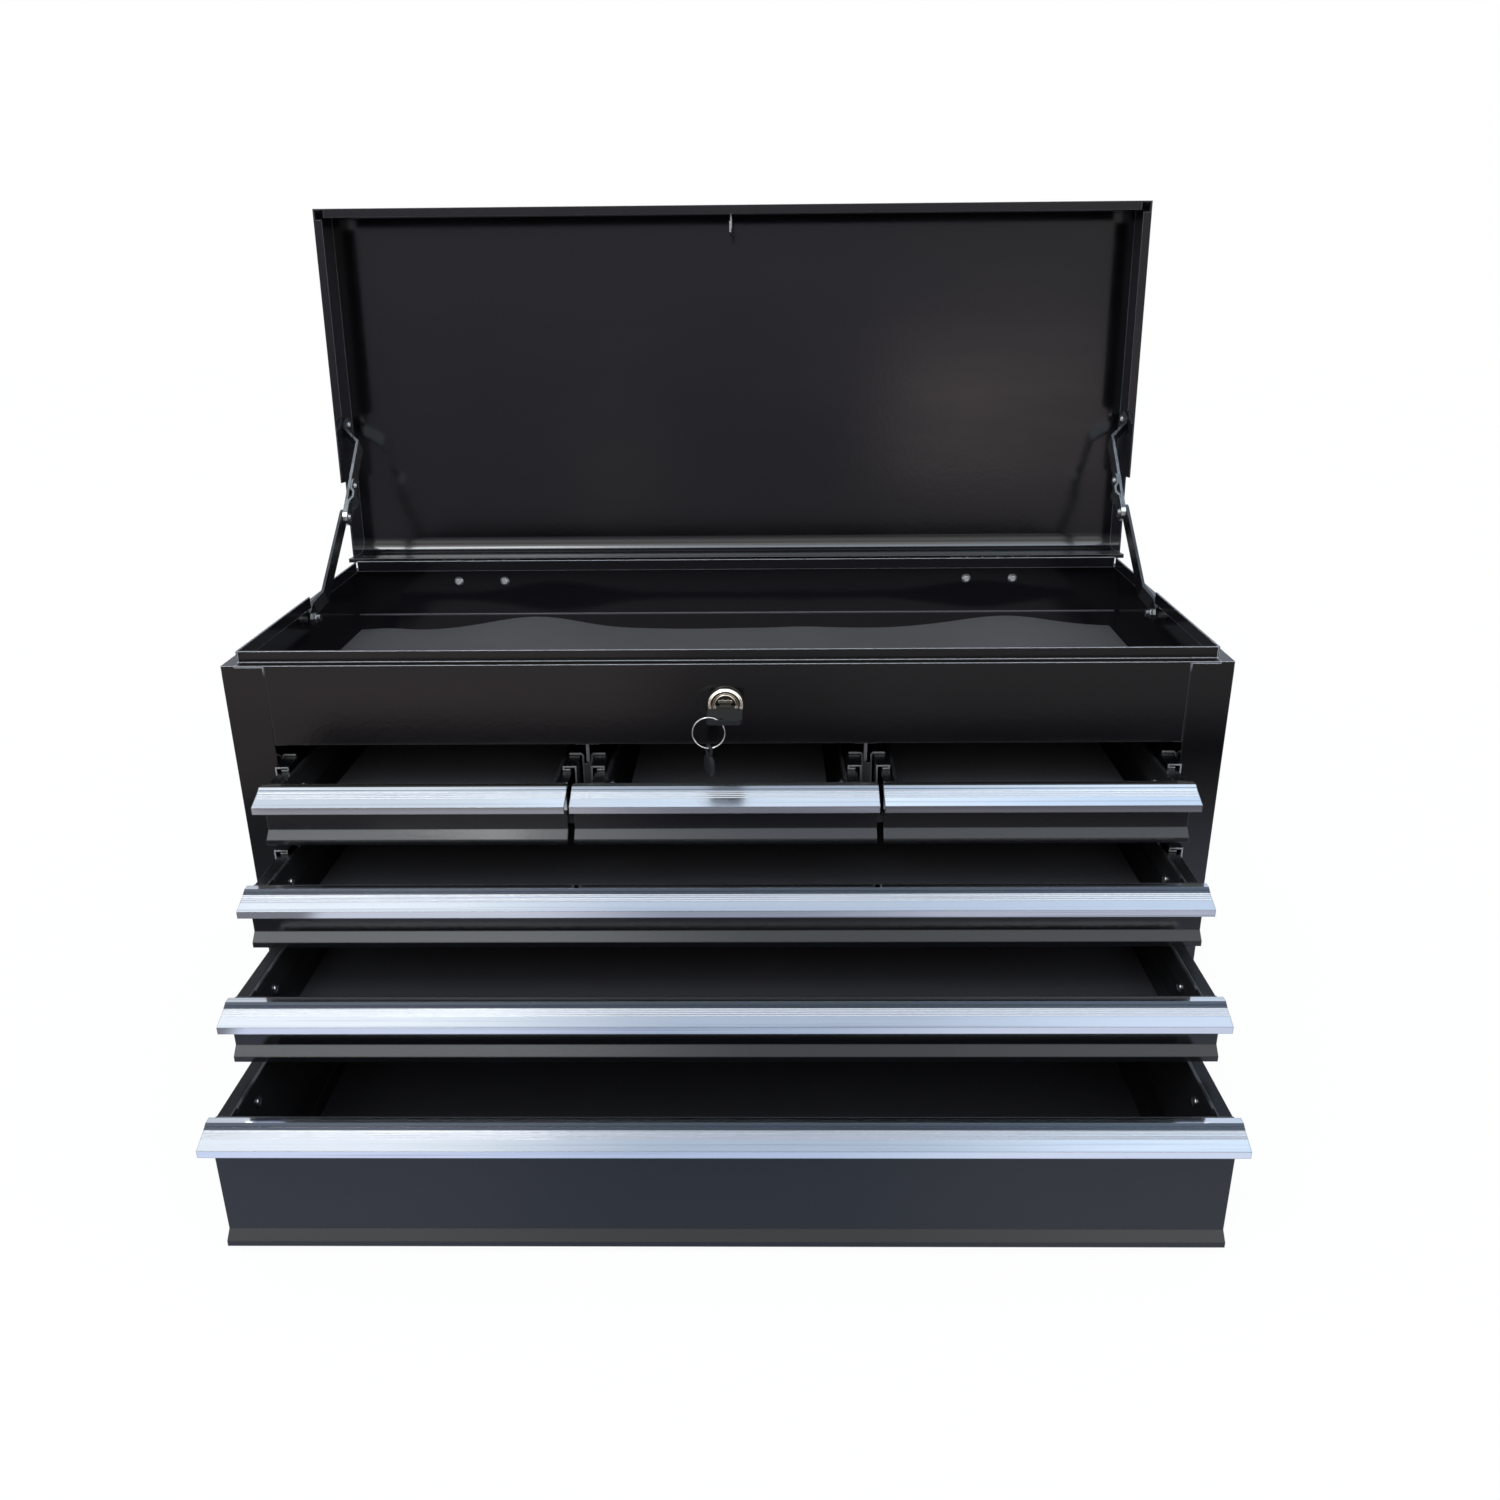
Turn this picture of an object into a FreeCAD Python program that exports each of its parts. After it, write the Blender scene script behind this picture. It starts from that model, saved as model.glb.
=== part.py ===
"""Six-drawer machinist tool chest, stored open: lid up on its stays, drawers pulled out in steps.

Millimetres.  X runs to the right, Y to the back, Z up.  The origin is the middle of the
case's footprint on the bench.  Heights of what hangs below the lid are measured down from
the shoulder, the ledge that the closed lid sits on.
"""
import FreeCAD, Part
import math
import os
from FreeCAD import Vector

os.makedirs("parts", exist_ok=True)

# ---- case -------------------------------------------------------------------
case_w = 610.0            # outside width of the case
case_d = 256.0            # outside depth of the case
shoulder_z = 290.0        # height of the ledge that carries the lid
sheet = 1.0               # steel sheet of case, lid and drawers
small_sides = 12          # flats of small round pieces and holes
post_w = 25.5             # front face of each side panel, seen beside the drawers
post_return = 20.0        # depth that the post folds back into the case
rim_h = 7.0               # upstand inside the lid's skirt
rim_in = 7.3              # from the case's outside to the upstand
rim_corner_slit = 2.5     # open slit between the side and back upstands
rim_notch_w = 34.0        # gap in the side rim that lets the stay through
rail_h = 51.4             # lock rail, from the shoulder to its lower edge
rail_return = 14.0        # fold under the lock rail
rail_seam = 0.4           # seam between the lock rail and each post
tray_depth = 38.0         # from the shoulder to the tray's floor
base_rail_h = 5.5         # upturned front edge of the base

# ---- lid --------------------------------------------------------------------
lid_over = 1.0            # lid overhang at the sides and the front
lid_h = 40.0              # height of the closed lid
lid_seat = 0.5            # gap under the closed skirt
lid_bend_r = 3.0          # outside bend at the front and sides
lid_back_r = 12.0         # rolled bend along the back
lid_flange = 6.0          # inward return of the skirt's free edge
lid_flange_end = 108.0    # side returns stop this far from the hinge axis
lid_cut_len = 63.0        # length of the raised skirt edge beside the hinge
lid_cut_h = 11.0          # how far that edge is raised
lid_corner_gap = 7.5      # relief between the front and side returns
lid_hem_t = 2.0           # hem along the rear skirt's free edge, on its outside
lid_hem_h = 6.0
lid_open = 94.0           # degrees from closed to the stays' stop

# ---- hinges -----------------------------------------------------------------
hinge_x = 201.25          # centre of each butt hinge
hinge_w = 60.0
leaf_t = 1.2
leaf_h = 24.0
knuckle_r = 3.0
knuckle_count = 5         # the case's leaf has the first, third and fifth
hinge_pin_r = 1.5
knuckle_rise = 3.0        # hinge axis above the shoulder
knuckle_gap = 0.4         # play between neighbouring knuckles
hinge_screw_pitch = 36.5
hinge_screw_drop = 11.0   # screws below the shoulder
screw_r = 2.0
screw_head_r = 3.6
screw_head_h = 2.2
hole_play = 0.1

# ---- drawers ----------------------------------------------------------------
first_top = 65.0          # top of the first row's pulls, below the shoulder
row_pitch = 46.5
shallow_h = 34.8          # height of a shallow front
deep_h = 78.0             # height of the bottom front
post_gap = 3.5            # between a wide front and a post
small_gap = 4.0           # between two small fronts
ridge_out = 5.0           # drip ridge along a front's lower edge
ridge_slope = 4.7
ridge_lip = 3.3
front_fold = 12.5         # fold under the front, back to the inner front wall
floor_rise = 3.4          # drawer floor above the front's lower edge
front_t = 7.5             # from the face to the back of the inner front wall
drawer_d = 238.0          # from the face to the drawer's back
out_small = 36.5          # how far each row is pulled out
out_upper = 77.5
out_lower = 124.0
out_deep = 169.5
side_hem = 4.0            # top edge of each side, folded in
side_hem_end = 7.0        # the hem starts this far behind the inner front wall
liner_t = 2.0
liner_inset = 8.0

# ---- pulls ------------------------------------------------------------------
pull_over = 2.5           # pull past the end of its front
pull_inner_over = 0.5     # the same, where two small pulls meet
pull_t = 1.3              # wall of the aluminium section
pull_back = 6.5           # top flat, behind the face
pull_hook = 5.0           # turned-down edge behind the top flat
pull_crest = 2.1          # where the top flat ends, behind the face
pull_knee = 1.0           # start of the slope, before the face
pull_knee_drop = 1.9
pull_reach = 12.9         # lip, before the face
pull_reach_drop = 6.8
pull_lip_drop = 11.1
pull_leg_drop = 14.0      # leg that is fixed to the face
groove_count = 4
groove_d = 0.3
groove_w = 0.7
groove_pitch = 1.45

# ---- drawer slides, three telescoping members -----------------------------------
slide_len = 230.0
slide_set = 8.0           # front ends behind the post's face
slide_drop = 10.4         # centre line below the pull's top
slide_space = 12.0        # from the mounting plane to the drawer's side
slide_play = 0.3          # between members that run in each other
race = 1.4                # corner roll of the outer member
outer_half = 15.0         # half height of the outer member
outer_wall = 1.2
outer_reach = 9.0         # how far its lips stand from the mounting plane
member_wall = 1.0
middle_web = 2.2          # web and lips of the middle member, from the mounting plane
middle_reach = 10.6
middle_bead = 2.8         # rolled edge of the middle member
middle_hem = 6.0          # where the rolled edge ends
inner_tip = 5.0           # where the inner member's lips end

# ---- dividers, cross rail and slide brackets ---------------------------------------
divider_x = 86.0          # middle of each divider's web
divider_t = 2.0
divider_flange = 6.0
divider_set = 2.0         # divider and cross rail behind the post's face
divider_clear = 1.0       # web to the back and the top of the closed small fronts
spacer_t = 2.5            # strip between a divider and the slide of the drawer beyond it
spacer_h = 16.0
cross_h = 5.5
cross_d = 12.0
cross_drop = 0.7          # cross rail below the small fronts
bracket_d = 15.0          # channel behind the slides' rear ends

# ---- lid stays ----------------------------------------------------------------
stud_y = 15.0             # stay stud on the side panel
stud_drop = 9.5           # below the shoulder
elbow_y = 91.0            # middle pivot with the lid open
elbow_rise = 47.3         # above the shoulder
lid_pivot_y = 158.0       # pivot on the lid's skirt with the lid open
lid_pivot_rise = 106.7
stay_t = 2.0
stay_w = 12.0
stay_lane = 0.3           # clearance between the two straps at the middle pivot
upper_in = 15.0           # inboard face of the upper strap, from the case's outside
stud_gap = 4.0            # side panel to the lower strap
stud_r = 2.5
stud_nut_r = 4.0
stud_nut_h = 2.6
stud_tip = 2.7            # stud beyond its nut
skirt_washer = 1.0
lower_flare_from = 9.0    # lower strap's flare, from the stud
lower_flare_to = 20.0
upper_joggle_from = 8.0   # upper strap's joggle, from the lid pivot
upper_joggle_to = 21.0
rivet_one_at = 60.0       # from the lid pivot
knuckle_t = 1.5           # curled plate that stiffens the middle pivot
curl_at = 66.0
curl_len = 12.0
curl_h = 2.6
rivet_r = 2.0
rivet_head_r = 3.4
rivet_head_h = 1.6
outside_head_h = 0.8
head_taper = 0.6          # flat top of a rivet or screw head, as a share of its foot

# ---- lock, key, ring and tag --------------------------------------------------------
lock_drop = 25.6          # lock axis below the shoulder
bezel_r = 11.0
bezel_h = 4.0
bezel_rim = 1.2           # flat edge of the dished bezel
barrel_r = 9.2
barrel_end = 8.9          # behind the rail's face
plug_r = 7.0
run_play = 0.05           # radial play of turning parts
plug_face = 2.2           # plug face, before the rail
nut_r = 13.5
nut_h = 4.0
cam_at = 9.0              # cam, behind the rail's face
cam_t = 1.5
cam_hub_r = 7.0
cam_half = 4.0
cam_reach = 20.0
cam_tab = 3.0             # bent end of the cam
cam_tab_d = 4.0
plug_tail_r = 3.5
key_head_w = 21.2
key_head_d = 22.0
key_head_t = 2.8
key_head_drop = 0.9       # head's middle below the lock's axis
key_head_at = 9.0         # head's near edge, before the rail
key_head_round = 3.5
key_neck_w = 11.0
blade_w = 7.0
blade_t = 1.8
blade_len = 10.0
key_slot_x = -4.0         # slot for the ring, near the head's left end
key_slot_at = 28.0        # before the rail
key_slot_len = 7.2
key_slot_w = 2.6
ring_r = 9.6
ring_wire = 1.2
ring_sides = 32
ring_x = -9.3
ring_drop = 8.1           # ring's centre below the lock's axis
tag_l = 20.0
tag_w = 11.0
tag_t = 2.8
tag_hole_r = 2.6
tag_hole_edge = 1.4       # above the hole
tag_hang = 1.3            # hole's centre below the wire
tag_turn = 30.0

# ---- lid striker ----------------------------------------------------------------------
striker_t = 1.2
striker_from = 1.0        # on the lid's front return, behind the rail's face
striker_back = 19.0       # rear edge of its arm
striker_arm_w = 4.0
striker_toe = 11.5        # tip of its foot
striker_over_rim = 1.5
striker_band = 7.0        # height of the bar that passes over the rim
striker_play = 0.5        # foot to the turned-up cam
striker_foot_h = 6.9
striker_flag = 9.0

# ---- side handles -------------------------------------------------------------------------
grip_r = 4.0
grip_sides = 8            # flats round the bar
grip_len = 110.0
grip_out = 24.0
grip_drop = 95.0          # below the shoulder
foot_r = 11.0
foot_t = 3.0
foot_sides = 24

# ---- tray liner -------------------------------------------------------------------------
tray_liner_t = 3.0
tray_liner_side = 21.0    # bare floor at each side of the foam
tray_liner_back = 56.0    # and behind it
tray_liner_front = 6.0

# ---- places worked out from the sizes above ----------------------------------------------
front = -case_d / 2
back = case_d / 2
half_w = case_w / 2
mount_x = half_w - post_w             # plane that the outer slides are fixed to
wide_front_w = 2 * (mount_x - post_gap)
small_front_w = (wide_front_w - 2 * small_gap) / 3
small_pitch = small_front_w + small_gap
tray_z = shoulder_z - tray_depth
hinge_y = back + knuckle_r
hinge_z = shoulder_z + knuckle_rise
lid_half = half_w + lid_over
lid_base = shoulder_z + lid_seat
lock_z = shoulder_z - lock_drop
deg = math.pi / 180.0


# ---- shape helpers --------------------------------------------------------------------------
def box(x0, x1, y0, y1, z0, z1):
    return Part.makeBox(x1 - x0, y1 - y0, z1 - z0, Vector(x0, y0, z0))


def flat(points):
    """Flat face inside a closed outline of points in space."""
    return Part.Face(Part.makePolygon(points + points[:1]))


def prism(points, direction, length, plane):
    """Extrude a closed outline.  plane turns a flat (a, b) into a point in space."""
    return flat([plane(a, b) for a, b in points]).extrude(direction * length)


def along_x(points_yz, x0, x1):
    return prism(points_yz, Vector(1, 0, 0), x1 - x0, lambda a, b: Vector(x0, a, b))


def along_y(points_xz, y0, y1):
    return prism(points_xz, Vector(0, 1, 0), y1 - y0, lambda a, b: Vector(a, y0, b))


def along_z(points_xy, z0, z1):
    return prism(points_xy, Vector(0, 0, 1), z1 - z0, lambda a, b: Vector(a, b, z0))


def folded(path, wall):
    """Outline of a sheet of one wall thickness, laid on the left of the path of its outer face."""
    normals = []
    for (a0, b0), (a1, b1) in zip(path, path[1:]):
        run = math.hypot(a1 - a0, b1 - b0)
        normals.append((-(b1 - b0) / run, (a1 - a0) / run))
    inner = []
    for i, (a, b) in enumerate(path):
        before = normals[max(i - 1, 0)]
        after = normals[min(i, len(normals) - 1)]
        total = (before[0] + after[0], before[1] + after[1])
        scale = wall * 2 / (total[0] ** 2 + total[1] ** 2)
        inner.append((a + total[0] * scale, b + total[1] * scale))
    return list(path) + inner[::-1]


def rod(start, direction, radius, length):
    return Part.makeCylinder(radius, length, start, direction)


def corners(centre, direction, radius, sides):
    """Corners of a regular outline round centre, square to direction."""
    upright = abs(direction.z) > abs(direction.x) + abs(direction.y)
    up = Vector(1, 0, 0) if upright else Vector(0, 0, 1)
    level = direction.cross(up)
    step = 2 * math.pi / sides
    return [centre + level * (radius * math.cos(i * step)) + up * (radius * math.sin(i * step))
            for i in range(sides)]


def peg(start, direction, radius, length, sides=small_sides):
    """Small round piece or hole, drawn with flats."""
    return flat(corners(start, direction, radius, sides)).extrude(direction * length)


def bore(start, direction, radius, length):
    """Hole for a peg that turns in it: the flats lie on the circle, the corners outside it."""
    return peg(start, direction, radius / math.cos(math.pi / small_sides), length)


def head(centre, direction, radius, height):
    """Low tapered head of a screw or rivet, its foot at centre."""
    foot = corners(centre, direction, radius, small_sides)
    top = corners(centre + direction * height, direction, radius * head_taper, small_sides)
    slopes = [flat([foot[i - 1], foot[i], top[i], top[i - 1]]) for i in range(small_sides)]
    return Part.makeSolid(Part.makeShell(slopes + [flat(foot), flat(top)]))


def mirrored(shape):
    return shape.mirror(Vector(0, 0, 0), Vector(1, 0, 0))


def fuse(shapes):
    whole = shapes[0]
    if len(shapes) > 1:
        whole = whole.fuse(shapes[1:])
    return whole.removeSplitter()


def both_sides(shape):
    return [shape, mirrored(shape)]


def save(name, shapes):
    """Write one node.  A list of shapes stays a group of separate solids."""
    group = shapes if isinstance(shapes, list) else [shapes]
    solids = [solid for shape in group for solid in shape.Solids]
    whole = solids[0] if len(solids) == 1 else Part.makeCompound(solids)
    whole.exportStep("parts/%s.step" % name)


def lift_lid(shape):
    """Turn a piece that is drawn on the closed lid to the open lid's place."""
    turned = shape.copy()
    turned.rotate(Vector(0, hinge_y, hinge_z), Vector(1, 0, 0), -lid_open)
    return turned


def closed_place(y, z):
    """Where a point of the open lid lies with the lid closed."""
    turn = lid_open * deg
    dy, dz = y - hinge_y, z - hinge_z
    return (hinge_y + dy * math.cos(turn) - dz * math.sin(turn),
            hinge_z + dy * math.sin(turn) + dz * math.cos(turn))


# ---- case ---------------------------------------------------------------------------------------
def side_panel():
    """Left side: wall, front post folded back into the case, ledge and upstand."""
    plan = folded([(mount_left, front + post_return), (mount_left, front),
                   (-half_w, front), (-half_w, back)][::-1], sheet)
    wall = along_z(plan, 0, shoulder_z - sheet)
    ledge = box(-half_w, -half_w + rim_in + sheet, front, back, shoulder_z - sheet, shoulder_z)
    upstand = box(-half_w + rim_in, -half_w + rim_in + sheet,
                  front + rim_in, back - rim_in - sheet - rim_corner_slit,
                  shoulder_z - sheet, shoulder_z + rim_h)
    above_tray = box(mount_left - sheet, mount_left, front + sheet, front + post_return,
                     tray_z - sheet, shoulder_z - sheet)
    below = box(mount_left - sheet, mount_left, front + sheet, front + post_return, 0, sheet)
    notch_mid = stud_y + lower_flare_to * math.cos(lower_angle) * 0.75
    notch = box(-half_w + rim_in / 2, -half_w + rim_in + 2 * sheet,
                notch_mid - rim_notch_w / 2, notch_mid + rim_notch_w / 2,
                shoulder_z - 2 * sheet, shoulder_z + rim_h + sheet)
    stud_hole = peg(Vector(-half_w - sheet, stud_y, stud_z), Vector(1, 0, 0),
                    stud_r + hole_play, 3 * sheet)
    wall = wall.cut(above_tray).cut(below)
    return fuse([wall, ledge, upstand]).cut(notch).cut(stud_hole)


def hinge_screw_places():
    return [side * (hinge_x + step * hinge_screw_pitch / 2) for side in (-1, 1) for step in (-1, 1)]


def back_panel():
    inside = half_w - sheet
    ledge_half = half_w - rim_in - sheet
    wall = box(-inside, inside, back - sheet, back, 0, shoulder_z - sheet)
    ledge = box(-ledge_half, ledge_half, back - rim_in - sheet, back, shoulder_z - sheet, shoulder_z)
    upstand = box(-ledge_half, ledge_half, back - rim_in - sheet, back - rim_in,
                  shoulder_z, shoulder_z + rim_h)
    panel = fuse([wall, ledge, upstand])
    for x in hinge_screw_places():
        panel = panel.cut(peg(Vector(x, back - 2 * sheet, shoulder_z - hinge_screw_drop),
                              Vector(0, 1, 0), screw_r + hole_play, 3 * sheet))
    return panel


def base_pan():
    inside = half_w - sheet
    floor = box(-inside, inside, front + sheet, back - sheet, 0, sheet)
    lip = along_x(folded([(front + cross_d, base_rail_h), (front, base_rail_h), (front, 0),
                          (front + cross_d, 0)], sheet), -mount_x, mount_x)
    return fuse([floor, lip])


def lock_rail():
    """Front rail over the drawers, with the front ledge and upstand and a fold underneath."""
    face = along_x(folded([(front + rail_return, shoulder_z - rail_h), (front, shoulder_z - rail_h),
                           (front, shoulder_z)][::-1], sheet),
                   -mount_x + rail_seam, mount_x - rail_seam)
    ledge_half = half_w - rim_in - sheet
    ledge = box(-ledge_half, ledge_half, front, front + rim_in + sheet,
                shoulder_z - sheet, shoulder_z)
    upstand = box(-ledge_half, ledge_half, front + rim_in, front + rim_in + sheet,
                  shoulder_z - sheet, shoulder_z + rim_h)
    lock_hole = rod(Vector(0, front - sheet, lock_z), Vector(0, 1, 0), barrel_r, 3 * sheet)
    return fuse([face, ledge, upstand]).cut(lock_hole)


def tray_floor():
    inside = half_w - sheet
    return box(-inside, inside, front + sheet, back - sheet, tray_z - sheet, tray_z)


def tray_liner():
    inside = half_w - tray_liner_side
    return box(-inside, inside, front + sheet + tray_liner_front, back - tray_liner_back,
               tray_z, tray_z + tray_liner_t)


def divider_frame():
    """Cross rail under the small drawers with a flanged divider standing on it at each side."""
    rail_foot = shoulder_z - rail_h
    rail_top = shoulder_z - first_top - shallow_h - cross_drop
    near = front + divider_set
    channel = folded([(near + cross_d, rail_top - cross_h), (near, rail_top - cross_h),
                      (near, rail_top), (near + cross_d, rail_top)][::-1], sheet)
    pieces = [along_x(channel, -mount_x, mount_x)]
    behind = front + rail_return
    clear_y = front + front_t + divider_clear
    clear_z = shoulder_z - first_top + divider_clear
    reach = divider_t / 2 + divider_flange
    half = divider_t / 2
    slide_z = shoulder_z - first_top - slide_drop
    for side in (-1, 1):
        x = side * divider_x
        pieces.append(box(x - half, x + half, near, behind, clear_z, rail_foot))
        pieces.append(box(x - half, x + half, clear_y, behind, rail_top, clear_z))
        pieces.append(box(x - half, x + half, behind, back - sheet, rail_top, tray_z - sheet))
        pieces.append(box(x - reach, x + reach, near, behind, rail_foot - sheet, rail_foot))
        pieces.append(box(x - reach, x + reach, behind + sheet, back - sheet,
                          tray_z - 2 * sheet, tray_z - sheet))
        spacer = box(divider_x + half, divider_x + half + spacer_t, front + slide_set,
                     front + slide_set + slide_len, slide_z - spacer_h / 2, slide_z + spacer_h / 2)
        pieces.append(spacer if side > 0 else mirrored(spacer))
    return fuse(pieces)


def slide_bracket():
    """Left channel that carries the rear ends of the outer slides."""
    near = front + slide_set + slide_len - bracket_d
    plan = folded([(-half_w + sheet, near + bracket_d), (mount_left, near + bracket_d),
                   (mount_left, near), (-half_w + sheet, near)][::-1], sheet)
    return along_z(plan, sheet, tray_z - sheet)


def side_handle():
    """Left carrying handle: a bent bar on two round feet."""
    z = shoulder_z - grip_drop
    half = grip_len / 2
    bend = 3 * grip_r
    outer = -half_w - grip_out
    root = -half_w

    def section(middle, a_axis):
        step = 2 * math.pi / grip_sides
        return [middle + a_axis * (grip_r * math.cos((i + 0.5) * step))
                + Vector(0, 0, grip_r * math.sin((i + 0.5) * step)) for i in range(grip_sides)]

    leg = flat(section(Vector(root, -half, z), Vector(0, 1, 0)))
    leg = leg.extrude(Vector(outer + bend - root, 0, 0))
    turn = flat(section(Vector(outer + bend, -half, z), Vector(0, 1, 0)))
    turn = turn.revolve(Vector(outer + bend, -half + bend, z), Vector(0, 0, 1), -90)
    bar = flat(section(Vector(outer, -half + bend, z), Vector(1, 0, 0)))
    bar = bar.extrude(Vector(0, 2 * (half - bend), 0))
    foot = peg(Vector(root, -half, z), Vector(-1, 0, 0), foot_r, foot_t, foot_sides)
    near = [leg, turn, foot]
    far = [piece.mirror(Vector(0, 0, 0), Vector(0, 1, 0)) for piece in near]
    return fuse([bar] + near + far)


# ---- lid -----------------------------------------------------------------------------------------
def lid_outline(inset):
    """Closed lid's side outline, front skirt at the left, with its two bends."""
    y0 = front - lid_over + inset
    y1 = back - inset
    z0 = lid_base - (sheet if inset else 0)
    z1 = lid_base + lid_h - inset
    r_front = lid_bend_r - inset
    r_back = lid_back_r - inset
    k = 1 - math.cos(math.pi / 4)
    x = -lid_half + inset
    p = [Vector(x, y0, z0), Vector(x, y0, z1 - r_front), Vector(x, y0 + r_front, z1),
         Vector(x, y1 - r_back, z1), Vector(x, y1, z1 - r_back), Vector(x, y1, z0)]
    edges = [Part.LineSegment(p[0], p[1]).toShape(),
             Part.Arc(p[1], Vector(x, y0 + r_front * k, z1 - r_front * k), p[2]).toShape(),
             Part.LineSegment(p[2], p[3]).toShape(),
             Part.Arc(p[3], Vector(x, y1 - r_back * k, z1 - r_back * k), p[4]).toShape(),
             Part.LineSegment(p[4], p[5]).toShape(),
             Part.LineSegment(p[5], p[0]).toShape()]
    return Part.Face(Part.Wire(edges)).extrude(Vector(2 * (lid_half - inset), 0, 0))


def lid_hems():
    """Hem along the rear skirt, between and beyond the hinges."""
    clear = hinge_w / 2 + knuckle_gap
    spans = [(-lid_half, -hinge_x - clear), (-hinge_x + clear, hinge_x - clear),
             (hinge_x + clear, lid_half)]
    return [box(x0, x1, back - sheet, back + lid_hem_t, lid_base, lid_base + lid_hem_h)
            for x0, x1 in spans]


def lid_pan():
    pan = lid_outline(0).cut(lid_outline(sheet))
    y0 = front - lid_over
    side_end = hinge_y - lid_flange_end
    front_return = box(-lid_half + lid_corner_gap, lid_half - lid_corner_gap, y0, y0 + lid_flange,
                       lid_base, lid_base + sheet)
    side_return = box(-lid_half, -lid_half + lid_flange, y0 + lid_corner_gap, side_end,
                      lid_base, lid_base + sheet)
    end_round = rod(Vector(-lid_half + lid_flange, side_end, lid_base - sheet), Vector(0, 0, 1),
                    lid_flange - sheet, 3 * sheet)
    side_return = side_return.cut(end_round)
    pan = fuse([pan, front_return] + both_sides(side_return) + lid_hems())
    for side in (-1, 1):
        outer = side * lid_half
        skirt_cut = box(min(outer, outer - side * 2 * lid_flange), max(outer, outer - side * 2 * lid_flange),
                        hinge_y - lid_cut_len, back - sheet, lid_base - sheet, lid_base + lid_cut_h)
        pan = pan.cut(skirt_cut)
        pan = pan.cut(peg(Vector(outer - side * 2 * sheet, pivot_closed[0], pivot_closed[1]),
                          Vector(side, 0, 0), rivet_r + hole_play, 3 * sheet))
    return lift_lid(pan)


def lid_striker():
    """Bar on the lid's front return: over the rim, down into the tray, with a foot for the cam."""
    base = lid_base + sheet
    rim_top = shoulder_z + rim_h + striker_over_rim
    foot_top = lock_z + cam_reach - cam_tab - striker_play
    y_from = front + striker_from
    y_flange = front - lid_over + lid_flange
    y_back = front + striker_back
    y_arm = y_back - striker_arm_w
    y_toe = front + striker_toe
    bar = along_x([(y_from, base), (y_flange, base), (y_flange + sheet, rim_top), (y_arm, rim_top),
                   (y_arm, foot_top), (y_toe, foot_top), (y_toe, foot_top - striker_foot_h),
                   (y_back, foot_top - striker_foot_h), (y_back, rim_top + striker_band),
                   (y_from, rim_top + striker_band)], -striker_t / 2, striker_t / 2)
    flag = box(-striker_t / 2, striker_flag, y_from, y_flange, base, base + striker_t)
    return lift_lid(fuse([bar, flag]))


# ---- hinges ------------------------------------------------------------------------------------
def hinge_leaf(centre, first, z_from, z_to):
    """Leaf with every second knuckle from the first, cut out for the other leaf's knuckles."""
    start = centre - hinge_w / 2
    step = hinge_w / knuckle_count
    reach = knuckle_r + knuckle_gap
    leaf = box(start, start + hinge_w, back, back + leaf_t, z_from, z_to)
    for i in range(knuckle_count):
        a = start + i * step
        b = a + step
        if i % 2 == first:
            a = a if i == 0 else a + knuckle_gap / 2
            b = b if i == knuckle_count - 1 else b - knuckle_gap / 2
            leaf = leaf.fuse(peg(Vector(a, hinge_y, hinge_z), Vector(1, 0, 0), knuckle_r, b - a))
        else:
            leaf = leaf.cut(box(a - knuckle_gap / 2, b + knuckle_gap / 2, back - leaf_t,
                                hinge_y + reach, hinge_z - reach, hinge_z + reach))
    return leaf


def case_leaf(centre):
    leaf = hinge_leaf(centre, 0, shoulder_z - leaf_h, hinge_z)
    for step in (-1, 1):
        leaf = leaf.cut(peg(Vector(centre + step * hinge_screw_pitch / 2, back - leaf_t,
                                   shoulder_z - hinge_screw_drop),
                            Vector(0, 1, 0), screw_r + hole_play, 3 * leaf_t))
    pin = peg(Vector(centre - hinge_w / 2, hinge_y, hinge_z), Vector(1, 0, 0), hinge_pin_r, hinge_w)
    return fuse([leaf, pin])


def lid_leaf(centre):
    leaf = hinge_leaf(centre, 1, hinge_z, hinge_z + leaf_h)
    pin_hole = bore(Vector(centre - hinge_w, hinge_y, hinge_z), Vector(1, 0, 0),
                    hinge_pin_r + run_play, 2 * hinge_w)
    return lift_lid(leaf.cut(pin_hole))


def hinge_screw(x):
    """Screw from inside the tray, with its nut behind the leaf."""
    z = shoulder_z - hinge_screw_drop
    inside = Vector(x, back - sheet, z)
    shank = peg(inside, Vector(0, 1, 0), screw_r, sheet + leaf_t + screw_head_h)
    nut = peg(Vector(x, back + leaf_t, z), Vector(0, 1, 0), screw_head_r, screw_head_h, 6)
    return fuse([head(inside, Vector(0, -1, 0), screw_head_r, screw_head_h), shank, nut])


# ---- drawers ----------------------------------------------------------------------------------------
def drawer(x0, x1, left, right, top, height, out):
    """One drawer: front from x0 to x1, box from left to right, top at the pull's top."""
    face = front - out
    foot = top - height
    section = [(face, top - pull_t), (face, foot + ridge_lip + ridge_slope),
               (face - ridge_out, foot + ridge_lip), (face - ridge_out, foot),
               (face - ridge_out + front_fold, foot)]
    skin = along_x(folded(section, sheet), x0, x1)
    inner = face + front_t
    ends = [box(x, x + sheet, face, inner, foot, top - pull_t - pull_hook)
            for x in (x0, x1 - sheet)]
    floor_z = foot + floor_rise
    pan = box(left, right, inner - sheet, face + drawer_d, floor_z, top)
    hollow = box(left + sheet, right - sheet, inner, face + drawer_d - sheet, floor_z + sheet, top + sheet)
    stop = box(x0 + sheet, x1 - sheet, inner - sheet, inner, foot, top)
    hems = [box(x, x + sheet, inner + side_hem_end, face + drawer_d - sheet, top - side_hem, top)
            for x in (left + sheet, right - 2 * sheet)]
    return fuse([skin, pan.cut(hollow), stop] + ends + hems)


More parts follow.
